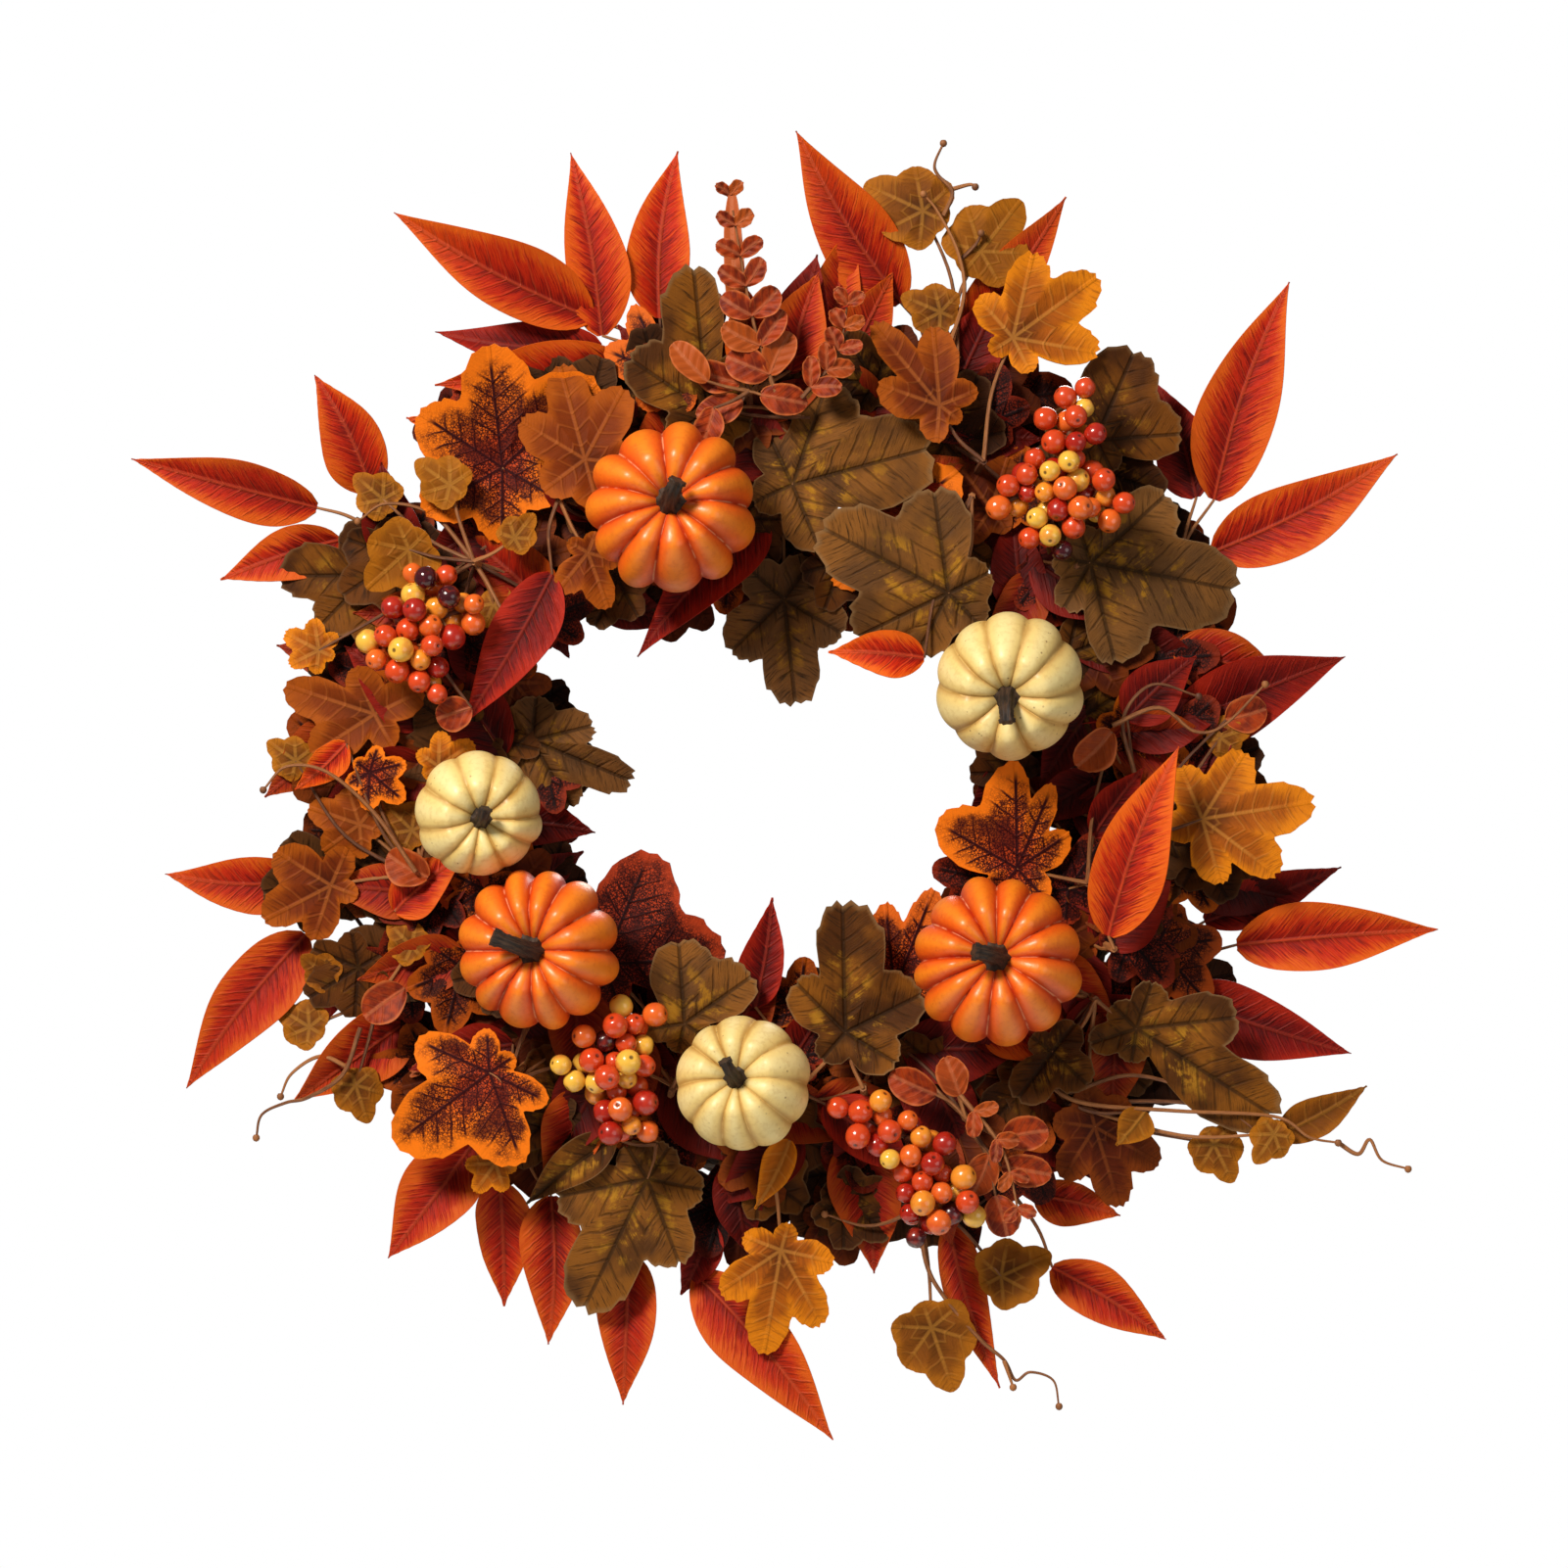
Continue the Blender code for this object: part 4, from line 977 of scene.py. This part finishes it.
class Paint:
    """A Principled material whose colour is laid on in layers. Values may be numbers, colours or wires."""

    def __init__(self, name, roughness, **constants):
        self.material = bpy.data.materials.new(name)
        self.material.use_nodes = True
        self.tree = self.material.node_tree
        self.shader = self.tree.nodes["Principled BSDF"].inputs
        self.shader["Roughness"].default_value = roughness
        for label, value in constants.items():
            self.shader[label.replace("_", " ")].default_value = value
        PAINTS[name] = self.material

    def put(self, socket, value):
        if isinstance(value, Wire):
            self.tree.links.new(value.socket, socket)
        else:
            socket.default_value = value

    def node(self, kind, *values, inputs=(), output=0, **settings):
        """The wire out of a new node: values go to its first inputs, and inputs are set by name or number."""
        made = self.tree.nodes.new(kind)
        for label, value in settings.items():
            setattr(made, label, value)
        for label, value in (*enumerate(values), *dict(inputs).items()):
            self.put(made.inputs[label], value)
        return Wire(self, made.outputs[output])

    def mix(self, share, a, b, blend="MIX"):
        # by number, because a Mix node has inputs of the same name for each type
        colours = {0: share, 6: a, 7: b}
        return self.node("ShaderNodeMix", inputs=colours, output=2, data_type="RGBA", blend_type=blend)

    def start(self, share, a, b):
        self.colour = self.mix(share, a, b)

    def lay(self, share, colour, strength=None):
        """Lays a colour over what is there, by share times strength."""
        self.colour = self.mix(share if strength is None else share * strength, self.colour, colour)

    def attribute(self, name):
        made = self.tree.nodes.new("ShaderNodeSeparateXYZ")
        self.put(made.inputs[0], self.node("ShaderNodeAttribute", output="Vector", attribute_name=name))
        return [Wire(self, socket) for socket in made.outputs]

    def vector(self, x, y, z):
        return self.node("ShaderNodeCombineXYZ", x, y, z)

    def place(self, at):
        """A vector as it is, or the point on the piece in cells of a size given as cells to a millimetre."""
        if isinstance(at, Wire):
            return at
        point = self.node("ShaderNodeTexCoord", output="Object")
        return self.node("ShaderNodeVectorMath", point, inputs={"Scale": at / MM}, operation="SCALE")

    def noise(self, at, detail=2.0, rough=0.5):
        inputs = {"Scale": 1.0, "Detail": detail, "Roughness": rough}
        return self.node("ShaderNodeTexNoise", self.place(at), inputs=inputs)

    def cells(self, at, feature="F1"):
        return self.node(
            "ShaderNodeTexVoronoi", self.place(at), inputs={"Scale": 1.0}, output="Distance", feature=feature
        )

    def finish(self, height, rise, strength, rough=None):
        """Wires up the colour, and a bump this many metres high."""
        self.put(self.shader["Base Color"], self.colour)
        if rough is not None:
            self.put(self.shader["Roughness"], rough)
        bump = {"Strength": strength, "Distance": rise, "Height": height}
        self.put(self.shader["Normal"], self.node("ShaderNodeBump", inputs=bump))


class LeafPaint(Paint):
    """A leaf's material. It reads the leaf's veins, the fine streaks along them, its edge and its shade.

    Side veins leave the main vein at a slope and stand a pitch of millimetres apart.
    """

    def __init__(self, name, roughness, specular, slope, pitch):
        super().__init__(name, roughness, Specular_IOR_Level=specular)
        along, self.across, self.edge = self.attribute("leaf")
        self.chance, self.shade, self.share = self.attribute("tone")
        slant = along - self.across * slope + self.noise(0.12) * 2.6
        band = (slant * (1 / pitch)).math("PINGPONG", 0.5) * 2.0
        self.side = band.fade(0.03, 0.24) * self.edge.smooth(0.04, 0.3)
        self.streak = self.noise(self.vector(slant * 1.5, self.across * 0.16, self.chance * 90.0), 5.0, 0.65)
        self.main = self.across.fade(0.25, 0.95)

    def close(self, rise, strength, rough=None, veins=1.0):
        """Darkens and reddens the colour by the leaf's painted shade, and raises veins over the fabric's
        weave.
        """
        keep = 1.0 - self.shade * 0.86
        dim = self.vector(keep, keep.math("POWER", 1.25), keep.math("POWER", 1.3))
        self.colour = self.mix(1.0, self.node("ShaderNodeGamma", self.colour, 1.14), dim, "MULTIPLY")
        ridge = self.side * (0.7 * veins) + self.main * (0.9 * veins)
        self.finish(ridge + self.noise(2.2, 1.0) * 0.16 + self.streak * 0.9, rise, strength, rough)


def lance_paint(name, rim, body, heart, vein):
    """A long leaf: dark streaks from its heart, and a light rim and tip."""
    paint = LeafPaint(name, 0.55, 0.16, 0.9, 5.5)
    inside = paint.edge + (paint.streak - 0.5) * 1.5
    paint.start((inside + (paint.noise(0.07, 3.0) - 0.5)).smooth(0.0, 0.62), rim, body)
    paint.lay((inside + paint.share * -0.35).smooth(0.3, 1.05), heart, 0.9)
    paint.lay(paint.streak.smooth(0.5, 0.68) * paint.edge.smooth(0.12, 0.6), heart)
    paint.lay(paint.share.smooth(0.45, 1.0) * paint.chance.smooth(0.1, 0.9), rim, 0.55)
    paint.lay(paint.side, vein, 0.24)
    paint.lay(paint.main, vein, 0.34)
    paint.close(0.0005, 0.75, paint.streak * 0.25 + 0.42)


def eucalyptus_paint():
    paint = LeafPaint("eucalyptus", 0.55, 0.2, 0.8, 3.2)
    paint.start(paint.noise(0.25, 3.0).smooth(0.35, 0.65), rgb(172, 70, 20), rgb(122, 42, 18))
    paint.lay(paint.chance.smooth(0.5, 0.9), rgb(176, 88, 28))
    paint.lay(paint.edge.fade(0.02, 0.2), rgb(206, 120, 66), 0.75)
    paint.lay(paint.main, rgb(196, 122, 84), 0.5)
    paint.lay(paint.side, rgb(190, 110, 70), 0.22)
    paint.close(0.0003, 0.6, veins=0.6)


def plain_paint(name, rim, body, heart, vein, spread=0.42):
    """A dyed leaf: light at the rim, dark towards the middle, with pale veins."""
    paint = LeafPaint(name, 0.62, 0.12, 0.5, 6.0)
    mottle = paint.noise(0.09, 4.0)
    inside = paint.edge + (mottle - 0.5) * 0.7
    paint.start(inside.smooth(0.02, spread), rim, body)
    paint.lay(inside.smooth(spread, 1.0), heart)
    paint.lay(paint.streak.smooth(0.48, 0.7), heart, 0.5)
    paint.lay(paint.chance.smooth(0.55, 1.0), rim, 0.35)
    paint.lay(paint.main * paint.edge.smooth(0.1, 0.5), vein, 0.5)
    paint.lay(paint.side, vein, 0.25)
    paint.close(0.0004, 0.7, mottle * 0.25 + 0.5)


def grape_paint():
    """Olive-brown leaves with gold washed in patches between dark veins."""
    paint = LeafPaint("grape", 0.62, 0.12, 0.75, 6.5)
    patchy = paint.noise(0.16, 4.0, 0.6)
    centre = paint.edge.smooth(0.2, 0.55)
    paint.start(paint.noise(0.05, 3.0).smooth(0.38, 0.62), rgb(146, 94, 30), rgb(90, 54, 20))
    paint.lay(paint.chance.smooth(0.45, 0.95), rgb(138, 104, 66), 0.5)
    paint.lay(paint.streak.smooth(0.52, 0.72), rgb(52, 36, 18))
    paint.lay((patchy + paint.streak * 0.5).smooth(0.76, 0.9) * centre, rgb(184, 136, 42), 0.85)
    paint.lay(paint.across.fade(0.6, 3.4) * centre, rgb(58, 38, 16), 0.45)
    paint.lay(paint.main.most(paint.side * 0.7), rgb(44, 30, 15), 0.6)
    paint.lay(paint.edge.fade(0.0, 0.06), rgb(150, 120, 84), 0.6)
    paint.close(0.0005, 0.8, patchy * 0.3 + 0.5, veins=-1.0)


def printed_paint(name, rim, ground, ink, fleck, reach):
    """A printed leaf: a dark net of ink that spreads from the veins and stops short of the bright rim."""
    paint = LeafPaint(name, 0.62, 0.12, 0.75, 6.0)
    mottle = paint.noise(0.11, 4.0, 0.6)
    paint.start((paint.edge + (mottle - 0.5)).smooth(0.15, 0.8), rim, ground)
    paint.lay(paint.chance.smooth(0.4, 1.0), fleck, 0.35)
    dense = (paint.edge + ((mottle - 0.5) * 0.9 + paint.side * 0.18)).smooth(reach, reach + 0.32)
    swirl = paint.node("ShaderNodeTexNoise", paint.place(0.5), output="Color")
    warped = paint.node("ShaderNodeVectorMath", paint.place(0.95), swirl, operation="ADD")
    net = paint.cells(warped, "DISTANCE_TO_EDGE").fade(0.06, 0.2)
    dots = paint.cells(1.3).fade(0.3, 0.48)
    solid = dense.smooth(0.6, 1.0) * mottle.smooth(0.44, 0.6)
    marks = (net.most(dots * 0.9) * dense).most(solid * 0.75)
    veins = (paint.main * paint.edge.smooth(0.06, 0.2)).most(paint.side * dense)
    paint.lay(marks.most(veins), ink)
    paint.close(0.0004, 0.7)


# The crest colour is the rib tops' own lighter colour with painted highlight in it. The groove colour is the
# grooves' own darker colour with painted shade in it, and it also tints the fine mottle.
def pumpkin_paint(name, crest_and_highlight, body, groove, seam, speck, speck_share, roughness, coat):
    paint = Paint(name, roughness, Coat_Weight=coat, Coat_Roughness=0.25)
    across, share, _ = paint.attribute("leaf")
    plump = paint.attribute("tone")[1]
    wide, fine = paint.noise(0.06, 3.0), paint.noise(0.5, 4.0, 0.6)
    edge = across + (wide - 0.5) * 0.5
    # Painted highlight and painted shade over the pumpkin's own two tones: lighter over the rib tops, darker
    # down into the grooves.
    paint.start(edge.smooth(0.05, 0.7), crest_and_highlight, body)
    paint.lay(edge.smooth(0.62, 1.02), groove)
    paint.lay(fine.smooth(0.45, 0.7), groove, 0.25)
    paint.lay(plump, crest_and_highlight, 0.18)
    paint.lay(across.smooth(0.93, 0.995) * paint.noise(0.2, 3.0).smooth(0.38, 0.58), seam, 0.8)
    # Painted shade: darker in the dimples round the stem and at the bottom.
    paint.lay(share.fade(0.1, 0.36), groove, 0.55)
    paint.lay(paint.cells(0.32).fade(0.06, 0.16) * paint.noise(0.1).smooth(0.46, 0.6), speck, speck_share)
    paint.finish(paint.cells(0.9) * 0.35 + (fine + wide * 0.8), 0.0003, 0.35, fine * 0.2 + (roughness - 0.08))


def stem_paint():
    paint = Paint("pumpkin_stem", 0.7)
    along, turn, _ = paint.attribute("leaf")
    cut = paint.attribute("tone")[2]
    grain = paint.noise(paint.vector(along * 0.25, turn * 3.0, 0.0), 5.0, 0.65)
    paint.start(grain.smooth(0.4, 0.66), rgb(26, 16, 10), rgb(72, 48, 28))
    paint.lay(along.fade(0.4, 2.6), rgb(52, 36, 18), 0.5)
    paint.lay(cut, paint.mix(paint.noise(1.4, 3.0), rgb(40, 26, 16), rgb(92, 66, 42)))
    paint.finish(grain, 0.0006, 0.8, grain * 0.3 + 0.5)


def berry_paint():
    """Berries of six colours, by each one's random number, with a dark eye and a shadowed foot."""
    paint = Paint("berry", 0.22, Coat_Weight=0.6, Coat_Roughness=0.12)
    away = paint.attribute("leaf")[0]
    chance, gloss, _ = paint.attribute("tone")
    kinds = (
        (0.0, rgb(62, 10, 20)), (0.07, rgb(168, 32, 18)), (0.22, rgb(212, 70, 26)), (0.5, rgb(228, 104, 34)),
        (0.68, rgb(238, 148, 44)), (0.8, rgb(240, 188, 70)),
    )
    paint.colour = paint.node("ShaderNodeValToRGB", chance)
    ramp = paint.colour.socket.node.color_ramp
    ramp.interpolation = "CONSTANT"
    for index, (at, colour) in enumerate(kinds):
        stop = ramp.elements[index] if index < 2 else ramp.elements.new(at)
        stop.position, stop.color = at, colour
    paint.lay(paint.noise(0.22).smooth(0.5, 0.72), rgb(205, 60, 30), 0.4)
    paint.lay(away.fade(0.1, 0.24), rgb(46, 22, 16), 0.8)
    paint.lay(away.smooth(2.0, 3.0), rgb(120, 30, 20), 0.45)
    paint.finish(paint.noise(1.2, 3.0), 0.0001, 0.4, gloss * 0.16 + 0.14)


def bark_paint():
    paint = Paint("bark", 0.88)
    along, turn, _ = paint.attribute("leaf")
    chance = paint.attribute("tone")[0]
    grain = paint.noise(paint.vector(along * 0.09, turn * 2.4, chance * 40.0), 7.0, 0.7)
    cracks = paint.cells(paint.vector(along * 0.14, turn * 1.6, chance), "DISTANCE_TO_EDGE").fade(0.0, 0.08)
    paint.start(grain.smooth(0.36, 0.66), rgb(48, 31, 20), rgb(118, 84, 56))
    paint.lay(paint.noise(0.05, 4.0, 0.6).smooth(0.5, 0.7), rgb(146, 118, 88), 0.5)
    paint.lay(cracks, rgb(30, 19, 12), 0.6)
    paint.finish(grain - cracks * 0.5, 0.0014, 0.9, grain * 0.25 + 0.72)


def twig_paint(name, deep, light, roughness):
    paint = Paint(name, roughness)
    along, turn, _ = paint.attribute("leaf")
    chance = paint.attribute("tone")[0]
    grain = paint.noise(paint.vector(along * 0.3, turn, chance * 30.0), 4.0, 0.6)
    paint.start((grain * 0.7 + chance * 0.5).smooth(0.3, 0.85), deep, light)
    paint.finish(grain, 0.0003, 0.7)


def steel_paint():
    paint = Paint("steel", 0.32, Metallic=1.0)
    stretched = paint.node("ShaderNodeVectorMath", paint.place(1.0), (0.12, 3.0, 3.0), operation="MULTIPLY")
    brushed, tarnish = paint.noise(stretched, 5.0), paint.noise(0.18, 4.0, 0.6)
    paint.start(tarnish.smooth(0.48, 0.68), rgb(176, 174, 168), rgb(118, 108, 94))
    paint.lay(brushed, rgb(205, 204, 200), 0.3)
    paint.finish(brushed, 0.00008, 0.5, (brushed + tarnish) * 0.2 + 0.2)


def floor_paint():
    paint = Paint("floor", 0.8)
    soft = paint.noise(0.01, 3.0)
    paint.start(soft, rgb(236, 233, 228), rgb(228, 225, 219))
    paint.finish(soft, 0.0004, 0.2)


lance_paint("coral", rgb(232, 112, 24), rgb(205, 52, 14), rgb(122, 14, 8), rgb(232, 112, 70))
lance_paint("crimson", rgb(176, 44, 18), rgb(132, 18, 12), rgb(66, 6, 8), rgb(190, 76, 56))
eucalyptus_paint()
grape_paint()
plain_paint("amber", rgb(172, 92, 18), rgb(124, 54, 10), rgb(78, 28, 6), rgb(186, 112, 54))
plain_paint("gold", rgb(222, 138, 20), rgb(172, 96, 18), rgb(104, 56, 16), rgb(206, 146, 70), 0.4)
plain_paint("ivy", rgb(180, 116, 26), rgb(136, 82, 22), rgb(92, 54, 16), rgb(192, 140, 62))
printed_paint("maple", rgb(240, 132, 24), rgb(206, 84, 36), rgb(62, 12, 18), rgb(216, 92, 62), 0.02)
printed_paint("maple_dark", rgb(176, 66, 28), rgb(132, 42, 30), rgb(42, 7, 12), rgb(186, 84, 50), -0.1)
pumpkin_paint(
    "pumpkin_orange", rgb(244, 132, 26), rgb(236, 96, 14), rgb(190, 48, 6),
    rgb(240, 172, 128), rgb(206, 84, 20), 0.5, 0.4, 0.2,
)
pumpkin_paint(
    "pumpkin_cream", rgb(242, 222, 154), rgb(234, 204, 124), rgb(184, 136, 56),
    rgb(218, 184, 108), rgb(128, 86, 36), 0.8, 0.5, 0.15,
)
stem_paint()
berry_paint()
bark_paint()
twig_paint("stalk", rgb(84, 44, 22), rgb(164, 104, 54), 0.65)
twig_paint("wire", rgb(46, 40, 26), rgb(82, 68, 40), 0.5)
steel_paint()
floor_paint()


# --- Sprays ---------------------------------------------------------------------------------------


def add_extras(build, name, hub, forward, rng):
    """A spray's scene-only leaves, eucalyptus twigs and thin vines."""
    for tier, leaf in EXTRAS.get(name, ()):
        add_leaf(build, leaf, hub, forward, tier_depth(tier) + 0.0012, rng, leaf.get("shade", 0.0))
    for spray, tier, points, first, last, pairs in TWIGS:
        if spray == name:
            add_twig(build, points, tier_depth(tier) + 0.001, first, last, pairs, rng)
    for spray, tier, points in VINES:
        if spray == name:
            deep = tier_depth(tier) + 0.0025 + np.cumsum(rng.uniform(-0.0012, 0.0016, len(points)))
            run = [spot(x, z, at) for (x, z), at in zip(points, deep)]
            add_stalk(build, run, VINE_RADIUS, rng, 8, 0.45)
            bead, faces, leaf = sphere(BEAD_RADIUS, 8, 6)
            build.add(bead + run[-1], faces, PAINTS["stalk"], leaf, (rng.random(), 0, 0))


def add_twig(build, points, at, first, last, pairs, rng):
    """A eucalyptus twig: pairs of small round leaves up a stem, smaller towards its end."""
    line = smooth_run([spot(x, z, at + 0.004 * k) for k, (x, z) in enumerate(points)], 10)
    add_stalk(build, line[::3], TWIG_RADIUS, rng, 2, 0.4)
    lengths = lengths_of(line)
    for pair in range(pairs):
        share = (pair + 0.6) / pairs
        here, near = [sample(line, lengths, at * lengths[-1]) for at in (share, share - 0.05)]
        heading = atan2(here[2] - near[2], here[0] - near[0])
        size = first + (last - first) * share
        base = ((here[0] - RING_CENTRE.x) / MM, (here[2] - RING_CENTRE.z) / MM)
        depth = RING_CENTRE.y - here[1]
        for side in (-1, 1):
            swing = heading + side * radians(rng.uniform(38, 66))
            tip = (base[0] + size * cos(swing), base[1] + size * sin(swing))
            leaf = lance("eucalyptus", base, tip, size * rng.uniform(0.55, 0.8), rng.uniform(0, 4))
            add_lance(build, leaf, depth + 0.0008, rng, 0.05)


def hole_reach(angle):
    """How far from the centre the foliage starts."""
    turn = np.degrees(angle % tau)
    wider = [more * np.exp(-(((turn - toward) / spread) ** 2)) for toward, spread, more in HOLE_WIDER]
    return sum(wider, HOLE_REACH)


def filler_leaves():
    """Leaves low in the foliage, darkened with painted shade the lower they lie, spread evenly round the
    ring, each given to the spray nearest it.
    """
    rng = np.random.default_rng(FILLER_SEED)
    found = {name: [] for name, hub, tier, leaves in SPRAYS}
    for index in range(FILLER_COUNT):
        angle = tau * (index * FILLER_TURN_STEP) % tau
        low = hole_reach(angle) + 17
        reach = low + (154 + 10 * max(0, -cos(angle)) - low) * ((index * FILLER_REACH_STEP) % 1)
        x, z = reach * cos(angle), reach * sin(angle)
        kind = FILLER_KINDS[index % len(FILLER_KINDS)]
        outward = reach > FILLER_OUTWARD
        heading = angle + (0 if outward else pi) + rng.uniform(-1.3, 1.3)
        size = rng.uniform(20, 28) if outward else rng.uniform(15, 20)
        if kind in ("crimson", "coral"):
            way = np.array((cos(heading), sin(heading))) * size
            ends = [(x + share * way[0], z + share * way[1]) for share in (-0.5, 1.2)]
            leaf = lance(kind, *ends, size * 0.9)
        else:
            leaf = palmate(kind, (x, z), (x + size * cos(heading), z + size * sin(heading)))
        name = min(SPRAYS, key=lambda spray: hypot(spray[1][0] - x, spray[1][1] - z))[0]
        tier = rng.uniform(-0.6, 0.7) if FILLER_EDGES[0] < reach < FILLER_EDGES[1] else rng.uniform(-3.5, 0.5)
        # Painted shade: the lower a filler leaf lies, the darker its colour, less a little at random.
        shade = np.clip(0.74 - 0.2 * tier, 0.45, 0.94) - 0.3 * rng.random() ** 2
        found[name].append((leaf, tier_depth(tier), shade))
    return found


def build_spray(name, hub, tier, leaves, fillers):
    rng = seeded(name)
    forward = tier_depth(tier)
    build = Build(name + "_leaves")
    add_stalk(build, column_points(hub, forward), COLUMN_RADIUS, rng, 4, 1.0)
    for index, leaf in enumerate(leaves):
        at = forward + BLADE_STEP * (index + 0.5)
        # Painted shade for leaves without their own: darker the lower the spray lies below tier 1, plus a
        # little at random.
        shade = leaf.get("shade", 0.08 * max(0, 1 - tier) + 0.06 * rng.random())
        add_leaf(build, leaf, hub, forward, at, rng, shade)
    add_extras(build, name, hub, forward, rng)
    for leaf, at, shade in fillers:
        add_leaf(build, leaf, hub, forward, at, rng, shade, stalk=leaf["shape"] == "lance", fine=False)
    build.finish("wreath", slots_for(name), name)


# --- The object -----------------------------------------------------------------------------------

fillers_of = filler_leaves()
for spray in SPRAYS:
    build_spray(*spray, fillers_of[spray[0]])
for spray in BERRY_SPRAYS:
    build_berries(*spray)
for pumpkin in PUMPKINS:
    build_pumpkin(*pumpkin)

build_vine("vine_core", None)
for index in range(STRAND_COUNT):
    build_vine(f"vine_strand_{index + 1}", tau * index / STRAND_COUNT)

for label in ("hanger_strap", "hanger_loop"):
    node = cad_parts[label]
    node.data.materials.clear()
    node.data.materials.append(PAINTS["steel"])

# --- Floor, light, camera -------------------------------------------------------------------------

FLOOR_HEIGHT = -0.62
FLOOR_SIZE = 1.1
CAMERA_REACH = 1.27
CAMERA_LENS = 85
FOCUS_DEPTH = -0.06
FILL_STRENGTH = 0.15

# Each lamp: name, where it hangs, what it points at, size, power, colour
LAMPS = (
    ("key", (-0.75, -1.15, 0.75), (0, -0.05, -0.15), 0.45, 31, (1, 0.92, 0.82)),
    ("fill", (1.1, -1.3, -0.1), (0, -0.05, -0.15), 1.2, 5, (1, 0.95, 0.9)),
    ("back", (0.3, 1.3, 0.7), (0, 0, -0.15), 0.9, 12, (1, 0.97, 0.94)),
)


def build_floor():
    bm = bmesh.new()
    bmesh.ops.create_grid(bm, x_segments=2, y_segments=2, size=FLOOR_SIZE / 2)
    mesh = bpy.data.meshes.new("floor")
    bm.to_mesh(mesh)
    bm.free()
    mesh.materials.append(PAINTS["floor"])
    floor = bpy.data.objects.new("floor", mesh)
    floor.location = (0, 0, FLOOR_HEIGHT)
    bpy.context.scene.collection.objects.link(floor)


def build_lamp(name, location, target, size, power, colour):
    data = bpy.data.lights.new(name, "AREA")
    data.shape, data.size, data.energy, data.color = "DISK", size, power, colour
    lamp = bpy.data.objects.new(name, data)
    lamp.location = location
    lamp.rotation_euler = (Vector(target) - Vector(location)).to_track_quat("-Z", "Y").to_euler()
    bpy.context.scene.collection.objects.link(lamp)


def build_world():
    """Plain white all round, which lights the object only softly."""
    world = bpy.data.worlds.new("studio")
    world.use_nodes = True
    tree = world.node_tree
    ray = tree.nodes.new("ShaderNodeLightPath")
    shown = tree.nodes["Background"]
    fill = tree.nodes.new("ShaderNodeBackground")
    mix = tree.nodes.new("ShaderNodeMixShader")
    shown.inputs["Color"].default_value = (1, 1, 1, 1)
    fill.inputs["Color"].default_value = (1, 0.97, 0.93, 1)
    fill.inputs["Strength"].default_value = FILL_STRENGTH
    tree.links.new(ray.outputs["Is Camera Ray"], mix.inputs[0])
    tree.links.new(fill.outputs[0], mix.inputs[1])
    tree.links.new(shown.outputs[0], mix.inputs[2])
    tree.links.new(mix.outputs[0], tree.nodes["World Output"].inputs["Surface"])
    bpy.context.scene.world = world


def build_camera():
    data = bpy.data.cameras.new("camera")
    data.lens, data.sensor_width = CAMERA_LENS, 36
    camera = bpy.data.objects.new("camera", data)
    camera.location = (0, FOCUS_DEPTH - CAMERA_REACH, RING_CENTRE.z)
    camera.rotation_euler = (pi / 2, 0, 0)
    bpy.context.scene.collection.objects.link(camera)
    bpy.context.scene.camera = camera


build_floor()
build_world()
for lamp in LAMPS:
    build_lamp(*lamp)
build_camera()
bpy.context.scene.view_settings.view_transform = "Standard"
